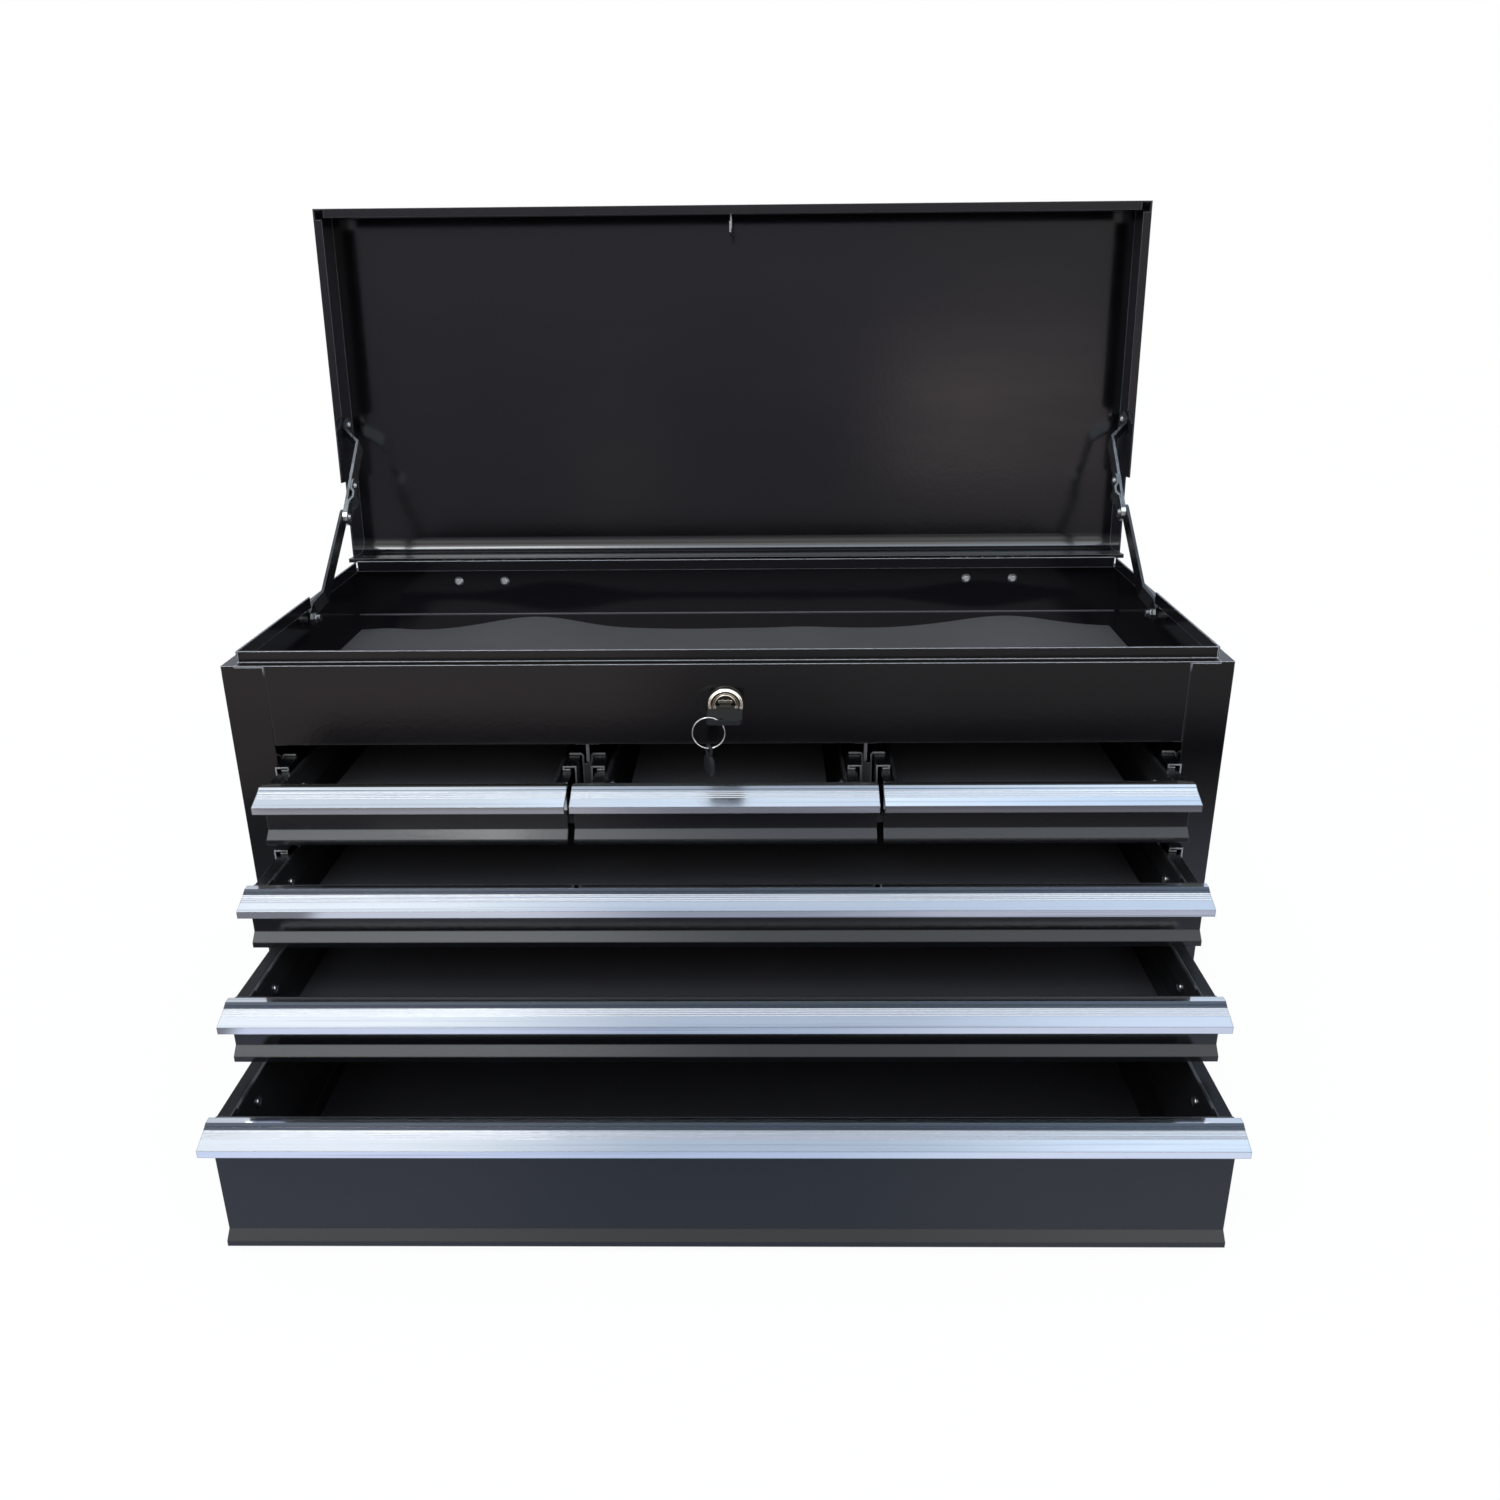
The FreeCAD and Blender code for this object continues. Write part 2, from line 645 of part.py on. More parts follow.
def pull_outline():
    """Section of a pull: y before and behind the face, z below the pull's top."""
    run_y = pull_knee - pull_reach
    run_z = pull_knee_drop - pull_reach_drop
    run = math.hypot(run_y, run_z)
    along = (run_y / run, run_z / run)
    across = (-along[1], along[0])

    def on_slope(s, depth):
        return (-pull_knee + along[0] * s + across[0] * depth,
                -pull_knee_drop + along[1] * s + across[1] * depth)
    outline = [(pull_back, -pull_hook), (pull_back, 0), (pull_crest, 0)]
    for i in range(groove_count):
        s = groove_pitch * (i + 0.4)
        outline += [on_slope(s, 0), on_slope(s + groove_w / 2, groove_d), on_slope(s + groove_w, 0)]
    lip_back = -pull_reach + pull_t
    outline += [(-pull_reach, -pull_reach_drop), (-pull_reach, -pull_lip_drop),
                (lip_back, -pull_lip_drop), (lip_back, -pull_reach_drop - pull_t / 2),
                (-pull_t, -pull_knee_drop - 1.5 * pull_t), (-pull_t, -pull_leg_drop),
                (0, -pull_leg_drop), (0, -pull_t), (pull_back - pull_t, -pull_t),
                (pull_back - pull_t, -pull_hook)]
    return outline


def pull(x0, x1, top, out):
    return along_x([(front - out + y, top + z) for y, z in pull_outline()], x0, x1)


def drawer_liner(left, right, top, height, out):
    face = front - out
    floor_top = top - height + floor_rise + sheet
    return box(left + sheet + liner_inset, right - sheet - liner_inset,
               face + front_t + liner_inset, face + drawer_d - sheet - liner_inset,
               floor_top, floor_top + liner_t)


# ---- slides --------------------------------------------------------------------------------------------
# Sections in (u, v): u away from the mounting plane, v up from the slide's centre line.
def outer_section():
    half = outer_half
    path = [(outer_reach, half), (race, half), (0, half - race)]
    path += [(u, -v) for u, v in reversed(path)]
    return folded(path, outer_wall)


def middle_section():
    half = outer_half - outer_wall - slide_play
    path = [(middle_hem, half - middle_bead), (middle_reach, half - middle_bead),
            (middle_reach, half), (middle_web, half)]
    path += [(u, -v) for u, v in reversed(path)]
    return folded(path, member_wall)


def inner_section():
    half = outer_half - outer_wall - slide_play - middle_bead - slide_play
    path = [(inner_tip, -half), (slide_space, -half)]
    path += [(u, -v) for u, v in reversed(path)]
    return folded(path, member_wall)


def slide_pair(section, left_plane, right_plane, top, y0, length=slide_len):
    """A member at each side of a drawer bay, mirrored, with its front end at y0."""
    z = top - slide_drop
    pair = []
    for plane_x, side in ((left_plane, 1), (right_plane, -1)):
        points = [(plane_x + side * u, z + v) for u, v in section]
        pair.append(along_y(points, y0, y0 + length))
    return pair


# ---- stays, drawn for the left side ---------------------------------------------------------------------
def strap(path, wall, width, first, last):
    """Flat strap along Y, bent across X.  Its round ends are centred on first and last."""
    outline = folded(path, wall)
    blank = prism(outline, Vector(0, 0, 1), width, lambda a, b: Vector(b, a, -width / 2))
    body = box(-lid_half, -lid_half + 3 * rim_in, first, last, -width / 2, width / 2)
    ends = [peg(Vector(-lid_half, y, 0), Vector(1, 0, 0), width / 2, 3 * rim_in)
            for y in (first, last)]
    return blank.common(fuse([body] + ends))


def place_strap(shape, angle, y, z):
    placed = shape.copy()
    placed.rotate(Vector(0, 0, 0), Vector(1, 0, 0), angle / deg)
    placed.translate(Vector(0, y, z))
    return placed


def lower_strap():
    """From the stud up to the middle pivot."""
    end = stay_w / 2
    stud_face = -half_w + sheet + stud_gap
    lane_face = upper_face - stay_lane - stay_t
    path = [(-end, stud_face), (lower_flare_from, stud_face), (lower_flare_to, lane_face),
            (lower_len + end, lane_face)]
    stud_hole = bore(Vector(-lid_half, 0, 0), Vector(1, 0, 0), stud_r + run_play, 3 * rim_in)
    blank = strap(path, stay_t, stay_w, 0, lower_len).cut(stud_hole)
    return place_strap(blank, lower_angle, stud_y, stud_z)


def upper_strap():
    """From the lid's pivot down to the middle one, with the curled plate on its inboard face."""
    end = stay_w / 2
    skirt_face = -lid_half + sheet + skirt_washer
    path = [(-end, skirt_face), (upper_joggle_from, skirt_face), (upper_joggle_to, upper_face),
            (upper_len + end, upper_face)]
    blank = strap(path, stay_t, stay_w, 0, upper_len)
    plate_face = upper_face + stay_t
    curl = [(rivet_one_at - end, plate_face), (curl_at, plate_face),
            (curl_at + curl_len / 3, plate_face + curl_h),
            (curl_at + 2 * curl_len / 3, plate_face + curl_h), (curl_at + curl_len, plate_face),
            (upper_len + end, plate_face)]
    plate = strap(curl, knuckle_t, stay_w, rivet_one_at, upper_len)
    rivet_hole = peg(Vector(-lid_half, 0, 0), Vector(1, 0, 0), rivet_r, 3 * rim_in)
    return place_strap(fuse([blank, plate]).cut(rivet_hole), upper_angle, lid_pivot_y, lid_pivot_z)


def stay_rivets():
    """Pivot in the lid's skirt, first rivet and the middle pivot's rivet."""
    inward = Vector(1, 0, 0)
    skirt_in = -lid_half + sheet
    strap_in = skirt_in + skirt_washer + stay_t
    plate_in = upper_face + stay_t + knuckle_t
    pivot = fuse([peg(Vector(-lid_half - outside_head_h / 2, 0, 0), inward, rivet_r,
                      strap_in + lid_half + outside_head_h / 2),
                  peg(Vector(skirt_in + run_play, 0, 0), inward, rivet_head_r, skirt_washer - run_play),
                  head(Vector(-lid_half - run_play, 0, 0), -inward, rivet_head_r, outside_head_h),
                  head(Vector(strap_in, 0, 0), inward, rivet_head_r, rivet_head_h)])
    heads = [head(Vector(plate_in, at, 0), inward, rivet_head_r, rivet_head_h)
             for at in (rivet_one_at, upper_len)]
    return [place_strap(piece, upper_angle, lid_pivot_y, lid_pivot_z) for piece in [pivot] + heads]


def stay_stud():
    """Stud through the side panel: head outside, collar, then the nut inside the strap."""
    inward = Vector(1, 0, 0)
    wall = -half_w + sheet
    strap_in = wall + stud_gap + stay_t

    def at(x):
        return Vector(x, stud_y, stud_z)
    outside = head(at(-half_w), -inward, stud_nut_r, rivet_head_h)
    shank = peg(at(-half_w), inward, stud_r, strap_in + half_w + run_play + stud_nut_h + stud_tip)
    collar = peg(at(wall), inward, stud_nut_r, stud_gap - run_play)
    nut = peg(at(strap_in + run_play), inward, stud_nut_r, stud_nut_h, 6)
    return fuse([outside, shank, collar, nut])


# ---- lock -----------------------------------------------------------------------------------------
def lock_axis(at):
    """Point on the lock's axis, at a depth behind the rail's face."""
    return Vector(0, front + at, lock_z)


def lock_rod(at, radius, length):
    return rod(lock_axis(at), Vector(0, 1, 0), radius, length)


def lock_body():
    """Dished bezel and the barrel through the rail."""
    backward = Vector(0, 1, 0)
    rim_r = bezel_r - bezel_rim
    bezel = Part.makeCone(rim_r, bezel_r, bezel_h, lock_axis(-bezel_h), backward)
    dish_h = bezel_h - plug_face
    dish = Part.makeCone(rim_r - bezel_rim / 2, plug_r + bezel_rim / 2, dish_h,
                         lock_axis(-bezel_h), backward)
    barrel = lock_rod(0, barrel_r, barrel_end)
    through = lock_rod(-bezel_h, plug_r + run_play, bezel_h + barrel_end)
    return fuse([bezel.cut(dish), barrel]).cut(through)


def lock_nut():
    nut = peg(lock_axis(sheet), Vector(0, 1, 0), nut_r, nut_h, 6)
    return nut.cut(lock_rod(0, barrel_r, barrel_end))


def lock_plug():
    plug = lock_rod(-plug_face, plug_r, plug_face + barrel_end)
    tail = lock_rod(barrel_end, plug_tail_r, cam_at + cam_t - barrel_end)
    screw = head(lock_axis(cam_at + cam_t), Vector(0, 1, 0), plug_tail_r, rivet_head_h)
    keyway = box(-blade_w / 2, blade_w / 2, front - plug_face, front - bezel_h + blade_len,
                 lock_z - blade_t / 2, lock_z + blade_t / 2)
    return fuse([plug.cut(keyway), tail, screw])


def lock_cam():
    """Cam on the plug's tail, pointing right when unlocked, with its end bent to the back."""
    y0 = front + cam_at
    hub = lock_rod(cam_at, cam_hub_r, cam_t)
    arm = box(0, cam_reach, y0, y0 + cam_t, lock_z - cam_half, lock_z + cam_half)
    tab = box(cam_reach - cam_tab, cam_reach, y0, y0 + cam_t + cam_tab_d,
              lock_z - cam_half, lock_z + cam_half)
    return fuse([hub, arm, tab]).cut(lock_rod(cam_at, plug_tail_r, cam_t))


def key():
    """Key in the plug: moulded head, neck and blade."""
    z0 = lock_z - key_head_drop - key_head_t / 2
    near = front - key_head_at
    half = key_head_w / 2
    head = box(-half, half, near - key_head_d, near, z0, z0 + key_head_t)
    upright = [edge for edge in head.Edges
               if abs(edge.Vertexes[0].Z - edge.Vertexes[1].Z) > key_head_t / 2]
    head = head.makeFillet(key_head_round, upright)
    slot_y = front - key_slot_at
    reach = (key_slot_len - key_slot_w) / 2
    slot = [peg(Vector(key_slot_x + step * reach, slot_y, z0), Vector(0, 0, 1),
                key_slot_w / 2, key_head_t) for step in (-1, 1)]
    slot.append(box(key_slot_x - reach, key_slot_x + reach, slot_y - key_slot_w / 2,
                    slot_y + key_slot_w / 2, z0, z0 + key_head_t))
    neck = box(-key_neck_w / 2, key_neck_w / 2, near, front - bezel_h - 2 * run_play,
               lock_z - blade_t / 2, z0 + key_head_t)
    blade = box(-blade_w / 2 + run_play, blade_w / 2 - run_play, near,
                front - bezel_h + blade_len - run_play,
                lock_z - blade_t / 2 + run_play, lock_z + blade_t / 2 - run_play)
    return fuse([head.cut(fuse(slot)), neck, blade])


def ring_centre():
    return Vector(ring_x, front - key_slot_at, lock_z - ring_drop)


def key_ring():
    """Split ring of square wire."""
    near = ring_centre() - Vector(0, ring_wire / 2, 0)
    disc = peg(near, Vector(0, 1, 0), ring_r + ring_wire / 2, ring_wire, ring_sides)
    return disc.cut(peg(near, Vector(0, 1, 0), ring_r - ring_wire / 2, ring_wire, ring_sides))


def key_tag():
    """Tag that hangs on the ring, turned a little about the vertical."""
    plate = box(-tag_t / 2, tag_t / 2, -tag_w / 2, tag_w / 2, -tag_l, 0)
    along = [edge for edge in plate.Edges
             if abs(edge.Vertexes[0].X - edge.Vertexes[1].X) > tag_t / 2]
    plate = plate.makeFillet(key_head_round, along)
    hole_z = -tag_hole_edge - tag_hole_r
    plate = plate.cut(peg(Vector(-tag_t, 0, hole_z), Vector(1, 0, 0), tag_hole_r, 2 * tag_t))
    plate.rotate(Vector(0, 0, 0), Vector(0, 0, 1), tag_turn)
    wire = ring_centre() - Vector(0, 0, ring_r)
    plate.translate(wire + Vector(0, 0, -tag_hang - hole_z))
    return plate


# ---- stay geometry, from its three pivots ---------------------------------------------------------
mount_left = -mount_x
stud_z = shoulder_z - stud_drop
elbow_z = shoulder_z + elbow_rise
lid_pivot_z = shoulder_z + lid_pivot_rise
lower_len = math.hypot(elbow_y - stud_y, elbow_z - stud_z)
lower_angle = math.atan2(elbow_z - stud_z, elbow_y - stud_y)
upper_len = math.hypot(elbow_y - lid_pivot_y, elbow_z - lid_pivot_z)
upper_angle = math.atan2(elbow_z - lid_pivot_z, elbow_y - lid_pivot_y)
upper_face = -half_w + upper_in - stay_t
pivot_closed = closed_place(lid_pivot_y, lid_pivot_z)


# ---- build the nodes -------------------------------------------------------------------------------
save("side_panel_left", side_panel())
save("side_panel_right", mirrored(side_panel()))
save("back_panel", back_panel())
save("base_pan", base_pan())
save("lock_rail", lock_rail())
save("tray_floor", tray_floor())
save("tray_liner", tray_liner())
save("drawer_dividers", divider_frame())
save("slide_brackets", both_sides(slide_bracket()))
save("side_handles", both_sides(side_handle()))
save("lid_pan", lid_pan())
save("lid_striker", lid_striker())
save("hinge_leaves_case", [case_leaf(side * hinge_x) for side in (-1, 1)])
save("hinge_leaves_lid", [lid_leaf(side * hinge_x) for side in (-1, 1)])
save("hinge_screws", [hinge_screw(x) for x in hinge_screw_places()])
save("stay_studs", both_sides(stay_stud()))
save("stay_lower_left", lower_strap())
save("stay_lower_right", mirrored(lower_strap()))
save("stay_upper_left", upper_strap())
save("stay_upper_right", mirrored(upper_strap()))
save("stay_rivets_left", stay_rivets())
save("stay_rivets_right", [mirrored(piece) for piece in stay_rivets()])
save("lock_body", lock_body())
save("lock_nut", lock_nut())
save("lock_plug", lock_plug())
save("lock_cam", lock_cam())
save("key", key())
save("key_ring", key_ring())
save("key_tag", key_tag())

divider_in = divider_x - divider_t / 2              # a divider's face to the middle drawer
divider_out = divider_x + divider_t / 2 + spacer_t  # the spacer's face to the drawer beyond
small_half = small_front_w / 2
wide_half = wide_front_w / 2
small_top = shoulder_z - first_top

# Every drawer: name, front's ends, pull's ends, its bay's two walls, row, height and pull-out.
drawers = [
    ("small_left", -wide_half, -small_pitch + small_half, -wide_half - pull_over,
     -small_pitch + small_half + pull_inner_over, -mount_x, -divider_out, 0, shallow_h, out_small),
    ("small_middle", -small_half, small_half, -small_half - pull_inner_over,
     small_half + pull_inner_over, -divider_in, divider_in, 0, shallow_h, out_small),
    ("small_right", small_pitch - small_half, wide_half, small_pitch - small_half - pull_inner_over,
     wide_half + pull_over, divider_out, mount_x, 0, shallow_h, out_small),
    ("upper", -wide_half, wide_half, -wide_half - pull_over, wide_half + pull_over,
     -mount_x, mount_x, 1, shallow_h, out_upper),
    ("lower", -wide_half, wide_half, -wide_half - pull_over, wide_half + pull_over,
     -mount_x, mount_x, 2, shallow_h, out_lower),
    ("deep", -wide_half, wide_half, -wide_half - pull_over, wide_half + pull_over,
     -mount_x, mount_x, 3, deep_h, out_deep),
]
outers = []
slide_y = front + slide_set
for name, x0, x1, pull_x0, pull_x1, bay_x0, bay_x1, row, height, out in drawers:
    top = small_top - row * row_pitch
    left = bay_x0 + slide_space
    right = bay_x1 - slide_space
    save("drawer_" + name, drawer(x0, x1, left, right, top, height, out))
    save("pull_" + name, pull(pull_x0, pull_x1, top, out))
    save("liner_" + name, drawer_liner(left, right, top, height, out))
    save("slide_inner_" + name, slide_pair(inner_section(), bay_x0, bay_x1, top,
                                           front - out + front_t, slide_len + slide_set - front_t))
    save("slide_middle_" + name, slide_pair(middle_section(), bay_x0, bay_x1, top, slide_y - out / 2))
    outers += slide_pair(outer_section(), bay_x0, bay_x1, top, slide_y)
save("slide_outers", outers)
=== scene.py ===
import math

import bmesh
import bpy
from mathutils import Matrix, Vector


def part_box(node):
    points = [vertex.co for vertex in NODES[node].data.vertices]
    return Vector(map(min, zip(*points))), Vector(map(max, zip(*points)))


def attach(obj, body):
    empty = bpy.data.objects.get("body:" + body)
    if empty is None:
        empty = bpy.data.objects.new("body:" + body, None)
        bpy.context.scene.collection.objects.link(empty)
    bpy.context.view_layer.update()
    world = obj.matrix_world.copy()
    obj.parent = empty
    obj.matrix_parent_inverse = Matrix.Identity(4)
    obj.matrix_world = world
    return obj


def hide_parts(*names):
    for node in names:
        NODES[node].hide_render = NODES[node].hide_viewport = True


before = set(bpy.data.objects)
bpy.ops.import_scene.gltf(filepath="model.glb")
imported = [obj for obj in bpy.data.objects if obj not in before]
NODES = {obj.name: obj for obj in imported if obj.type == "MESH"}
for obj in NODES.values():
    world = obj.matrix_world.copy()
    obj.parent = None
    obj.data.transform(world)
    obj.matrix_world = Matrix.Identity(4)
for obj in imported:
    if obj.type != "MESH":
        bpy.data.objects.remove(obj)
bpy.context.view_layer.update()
MM = 0.001
TINY = 1e-7

# ---- camera ------------------------------------------------------------------------------------
SENSOR = 36.0
LENS = 30.02
CAMERA_AT = Vector((0.0255, -0.8455, 0.5177))
PITCH, YAW, ROLL = math.radians(21.55), math.radians(-0.87), math.radians(-0.54)
CLIP_END = 50


def add_camera():
    fwd = Vector((math.sin(YAW) * math.cos(PITCH), math.cos(YAW) * math.cos(PITCH), -math.sin(PITCH)))
    right = Vector((math.cos(YAW), -math.sin(YAW), 0))
    up = right.cross(fwd)
    right_rolled = right * math.cos(ROLL) + up * math.sin(ROLL)
    up_rolled = up * math.cos(ROLL) - right * math.sin(ROLL)
    data = bpy.data.cameras.new("camera")
    data.sensor_width = SENSOR
    data.lens = LENS
    data.clip_end = CLIP_END
    camera = bpy.data.objects.new("camera", data)
    bpy.context.scene.collection.objects.link(camera)
    rotation = Matrix((right_rolled, up_rolled, -fwd)).transposed()
    camera.matrix_world = Matrix.Translation(CAMERA_AT) @ rotation.to_4x4()
    bpy.context.scene.camera = camera


add_camera()
bpy.context.scene.view_settings.view_transform = "Standard"


# ---- node helpers ------------------------------------------------------------------------------
class Tree:
    """Builds a material's or the world's node tree with short calls."""

    def __init__(self, owner):
        owner.use_nodes = True
        self.tree = owner.node_tree
        self.tree.nodes.clear()

    def node(self, kind, settings=None, **inputs):
        """New node.  Inputs go by name, with _ for a space, or by number, as i0, i1."""
        node = self.tree.nodes.new(kind)
        for key, value in (settings or {}).items():
            setattr(node, key, value)
        for key, value in inputs.items():
            self.put(node, key.replace("_", " "), value)
        return node

    def put(self, node, key, value):
        socket = node.inputs[int(key[1:])] if key[0] == "i" and key[1:].isdigit() else node.inputs[key]
        if isinstance(value, bpy.types.NodeSocket):
            self.tree.links.new(value, socket)
        elif hasattr(socket.default_value, "__len__") and len(socket.default_value) == 4:
            socket.default_value = tuple(value) + ((1,) if len(value) == 3 else ())
        else:
            socket.default_value = value

    def math(self, operation, a, b=0.0):
        return self.node("ShaderNodeMath", {"operation": operation}, i0=a, i1=b).outputs[0]

    def times(self, a, b):
        return self.math("MULTIPLY", a, b)

    def mix(self, factor, a, b):
        node = self.node("ShaderNodeMix", {"data_type": "RGBA"})
        self.put(node, "i0", factor)
        self.put(node, "i6", a)
        self.put(node, "i7", b)
        return node.outputs[2]

    def span(self, value, low, high, to_low, to_high):
        node = self.node("ShaderNodeMapRange", i0=value, i1=low, i2=high, i3=to_low, i4=to_high)
        return node.outputs[0]

    def smooth(self, value, low, high):
        """Smooth step from nought at low to one at high."""
        node = self.node("ShaderNodeMapRange", {"interpolation_type": "SMOOTHSTEP"}, i0=value,
                         i1=low, i2=high, i3=0.0, i4=1.0)
        return node.outputs[0]

    def between(self, value, low, high, soft):
        """One between low and high, falling softly to nought outside."""
        rising = self.smooth(value, low - soft, low + soft)
        falling = self.smooth(value, high + soft, high - soft)
        return self.times(rising, falling)

    def split(self, source):
        """The X, Y and Z sockets of one kind of texture coordinate."""
        coord = self.node("ShaderNodeTexCoord")
        return self.node("ShaderNodeSeparateXYZ", Vector=coord.outputs[source]).outputs

    def noise(self, scale, detail, rough, stretch=(1, 1, 1)):
        coord = self.node("ShaderNodeTexCoord")
        mapping = self.node("ShaderNodeMapping", Vector=coord.outputs["Object"], Scale=stretch)
        node = self.node("ShaderNodeTexNoise", Vector=mapping.outputs[0], Scale=scale,
                         Detail=detail, Roughness=rough)
        return node.outputs["Fac"]

    def bump(self, height, strength, distance, normal):
        node = self.node("ShaderNodeBump", Height=height, Strength=strength, Distance=distance,
                         Normal=normal)
        return node.outputs[0]

    def soft_edge(self, radius):
        return self.node("ShaderNodeBevel", {"samples": 4}, Radius=radius).outputs[0]

    def add_normal(self, normal, shift):
        leant = self.node("ShaderNodeVectorMath", {"operation": "ADD"}, i0=normal, i1=shift)
        unit = self.node("ShaderNodeVectorMath", {"operation": "NORMALIZE"}, i0=leant.outputs[0])
        return unit.outputs[0]

    # Masks: one on some faces of a piece, nought on its others.  Where they read normals, their
    # limits are parts of a unit normal.
    def painted_light_edge(self, softened, edge_onset=0.995, edge_highlight=0.85):
        """One along folds and cut edges, where the softened normal leaves the true one; painted
        highlights and painted shade are laid along it.
        """
        true = self.node("ShaderNodeNewGeometry").outputs["Normal"]
        dot = self.node("ShaderNodeVectorMath", {"operation": "DOT_PRODUCT"}, i0=softened, i1=true)
        return self.smooth(dot.outputs["Value"], edge_onset, edge_highlight)

    def past(self, source, axis, low, high):
        """One beyond a place along an axis of the given coordinates."""
        return self.smooth(self.split(source)[axis], low, high)

    def on_ridge(self):
        """One on the drip ridges of the drawers' fronts."""
        _, toward, height = self.split("Normal")
        sloped = self.times(self.smooth(height, 0.60, 0.70), self.smooth(height, 0.86, 0.76))
        return self.times(self.smooth(toward, -0.55, -0.65), sloped)

    def on_bend(self):
        """One on the lid's rear bend."""
        _, toward, height = self.split("Normal")
        rolled = self.times(self.smooth(height, 0.30, 0.58), self.smooth(height, 0.97, 0.90))
        return self.times(self.smooth(toward, -0.10, -0.30), rolled)

    def sideways(self):
        """One on faces that look to the left or the right."""
        return self.smooth(self.math("ABSOLUTE", self.split("Normal")[0]), 0.80, 0.95)

    def cut_end(self):
        """One on faces cut square to the object's front."""
        return self.smooth(self.split("Normal")[1], -0.80, -0.97)

    def finish(self, **inputs):
        shader = self.node("ShaderNodeBsdfPrincipled", **inputs)
        out = self.node("ShaderNodeOutputMaterial")
        self.tree.links.new(shader.outputs[0], out.inputs[0])


def material(name):
    made = bpy.data.materials.new(name)
    return made, Tree(made)


# ---- materials ---------------------------------------------------------------------------------
# Noise scales are waves per metre, radii and depths are in metres.  low and high are the two
# colours that a finish wanders between.  rough is its roughness: both ends of the range in enamel
# and bare_metal, the lower end in cut_steel, and one value in plain.
# An edge pair is how far softening has turned the normal, as cosines: where a painted edge tone starts,
# then where it is full.
NOISE_RANGE = 0.3, 0.7        # where most values of a noise lie
FOLD_RADIUS = 0.0008          # softened folds of painted sheet
PEEL, PEEL_DEPTH = 0.05, 0.0004
DUST_RANGE = 0.70, 0.78       # values of a fine noise that make specks of dust
DUST_TONE, DUST_SHARE = (0.055, 0.055, 0.058), 0.35
FOLD_HIGHLIGHT_SHARE = 0.8              # how far a fold takes its painted highlight tone
ENAMEL_IOR, BEND_IOR_RISE = 1.5, 0.40
METAL_DEPTH = 0.0002          # grain of metals
STREAK_RANGE, STREAK_TONE = (0.52, 0.66), (0.34, 0.38, 0.46)
FOLD_SHADE_RADIUS, FOLD_SHADE_EDGE, FOLD_SHADE_TONE = 0.0009, (0.998, 0.92), (0.16, 0.18, 0.21)
CUT_RADIUS, CUT_EDGE, CUT_HIGHLIGHT_SHARE = 0.0003, (0.99, 0.7), 0.35
CUT_ROUGH_SPREAD, CUT_BRIGHT_ROUGHER = 0.12, 0.1
PLAIN_RADIUS, CLOUD_SHARE = 0.0004, 0.6


def enamel(name, low, high, rough, edge_highlight=(0.14, 0.14, 0.147), lean=0.0, drop=0.0, inner=None,
           rim=None, side_light=None):
    """Gloss enamel on sheet steel: faint mottling, orange peel and softly rounded folds.

    edge_highlight is the painted highlight tone of its folds, and rim is (low, high, tone): a brighter
    painted highlight for folds above that height.
    inner is (source, axis, low, high, tone): painted light, a paler tone beyond that place.
    side_light is the tone of faces that look sideways: painted light, paler than the rest of the coat.
    lean turns the drip ridges' normals forward, and drop turns the lid's rear bend down, to the
    rounder shape that each has in life.
    """
    made, t = material(name)
    colour = t.mix(t.noise(scale=9, detail=3, rough=0.55), low, high)
    # Painted light: the insides are paler than the fronts.
    if inner:
        colour = t.mix(t.past(*inner[:4]), colour, inner[4])
    # Painted light: faces that look sideways are paler.
    if side_light:
        colour = t.mix(t.sideways(), colour, side_light)
    dust = t.span(t.noise(scale=2600, detail=2, rough=0.6), *DUST_RANGE, 0, 1)
    colour = t.mix(t.times(dust, DUST_SHARE), colour, DUST_TONE)
    softened = t.soft_edge(FOLD_RADIUS)
    # Painted highlight along folds and cut edges, brighter on the rim above a height.
    if rim:
        edge_highlight = t.mix(t.past("Object", 2, *rim[:2]), edge_highlight, rim[2])
    colour = t.mix(t.times(t.painted_light_edge(softened), FOLD_HIGHLIGHT_SHARE), colour, edge_highlight)
    smear = t.noise(scale=26, detail=4, rough=0.6, stretch=(0.25, 1, 1))
    ripple = t.noise(scale=330, detail=2, rough=0.5)
    normal = t.bump(ripple, PEEL, PEEL_DEPTH, softened)
    ior = ENAMEL_IOR
    if lean:
        shift = t.node("ShaderNodeCombineXYZ", Y=t.times(t.on_ridge(), -lean))
        normal = t.add_normal(normal, shift.outputs[0])
    if drop:
        shift = t.node("ShaderNodeCombineXYZ", Z=t.times(t.on_bend(), -drop))
        normal = t.add_normal(normal, shift.outputs[0])
        ior = t.math("ADD", ENAMEL_IOR, t.times(t.on_bend(), BEND_IOR_RISE))
    t.finish(Base_Color=colour, Roughness=t.span(smear, *NOISE_RANGE, *rough), Normal=normal,
             IOR=ior)
    return made


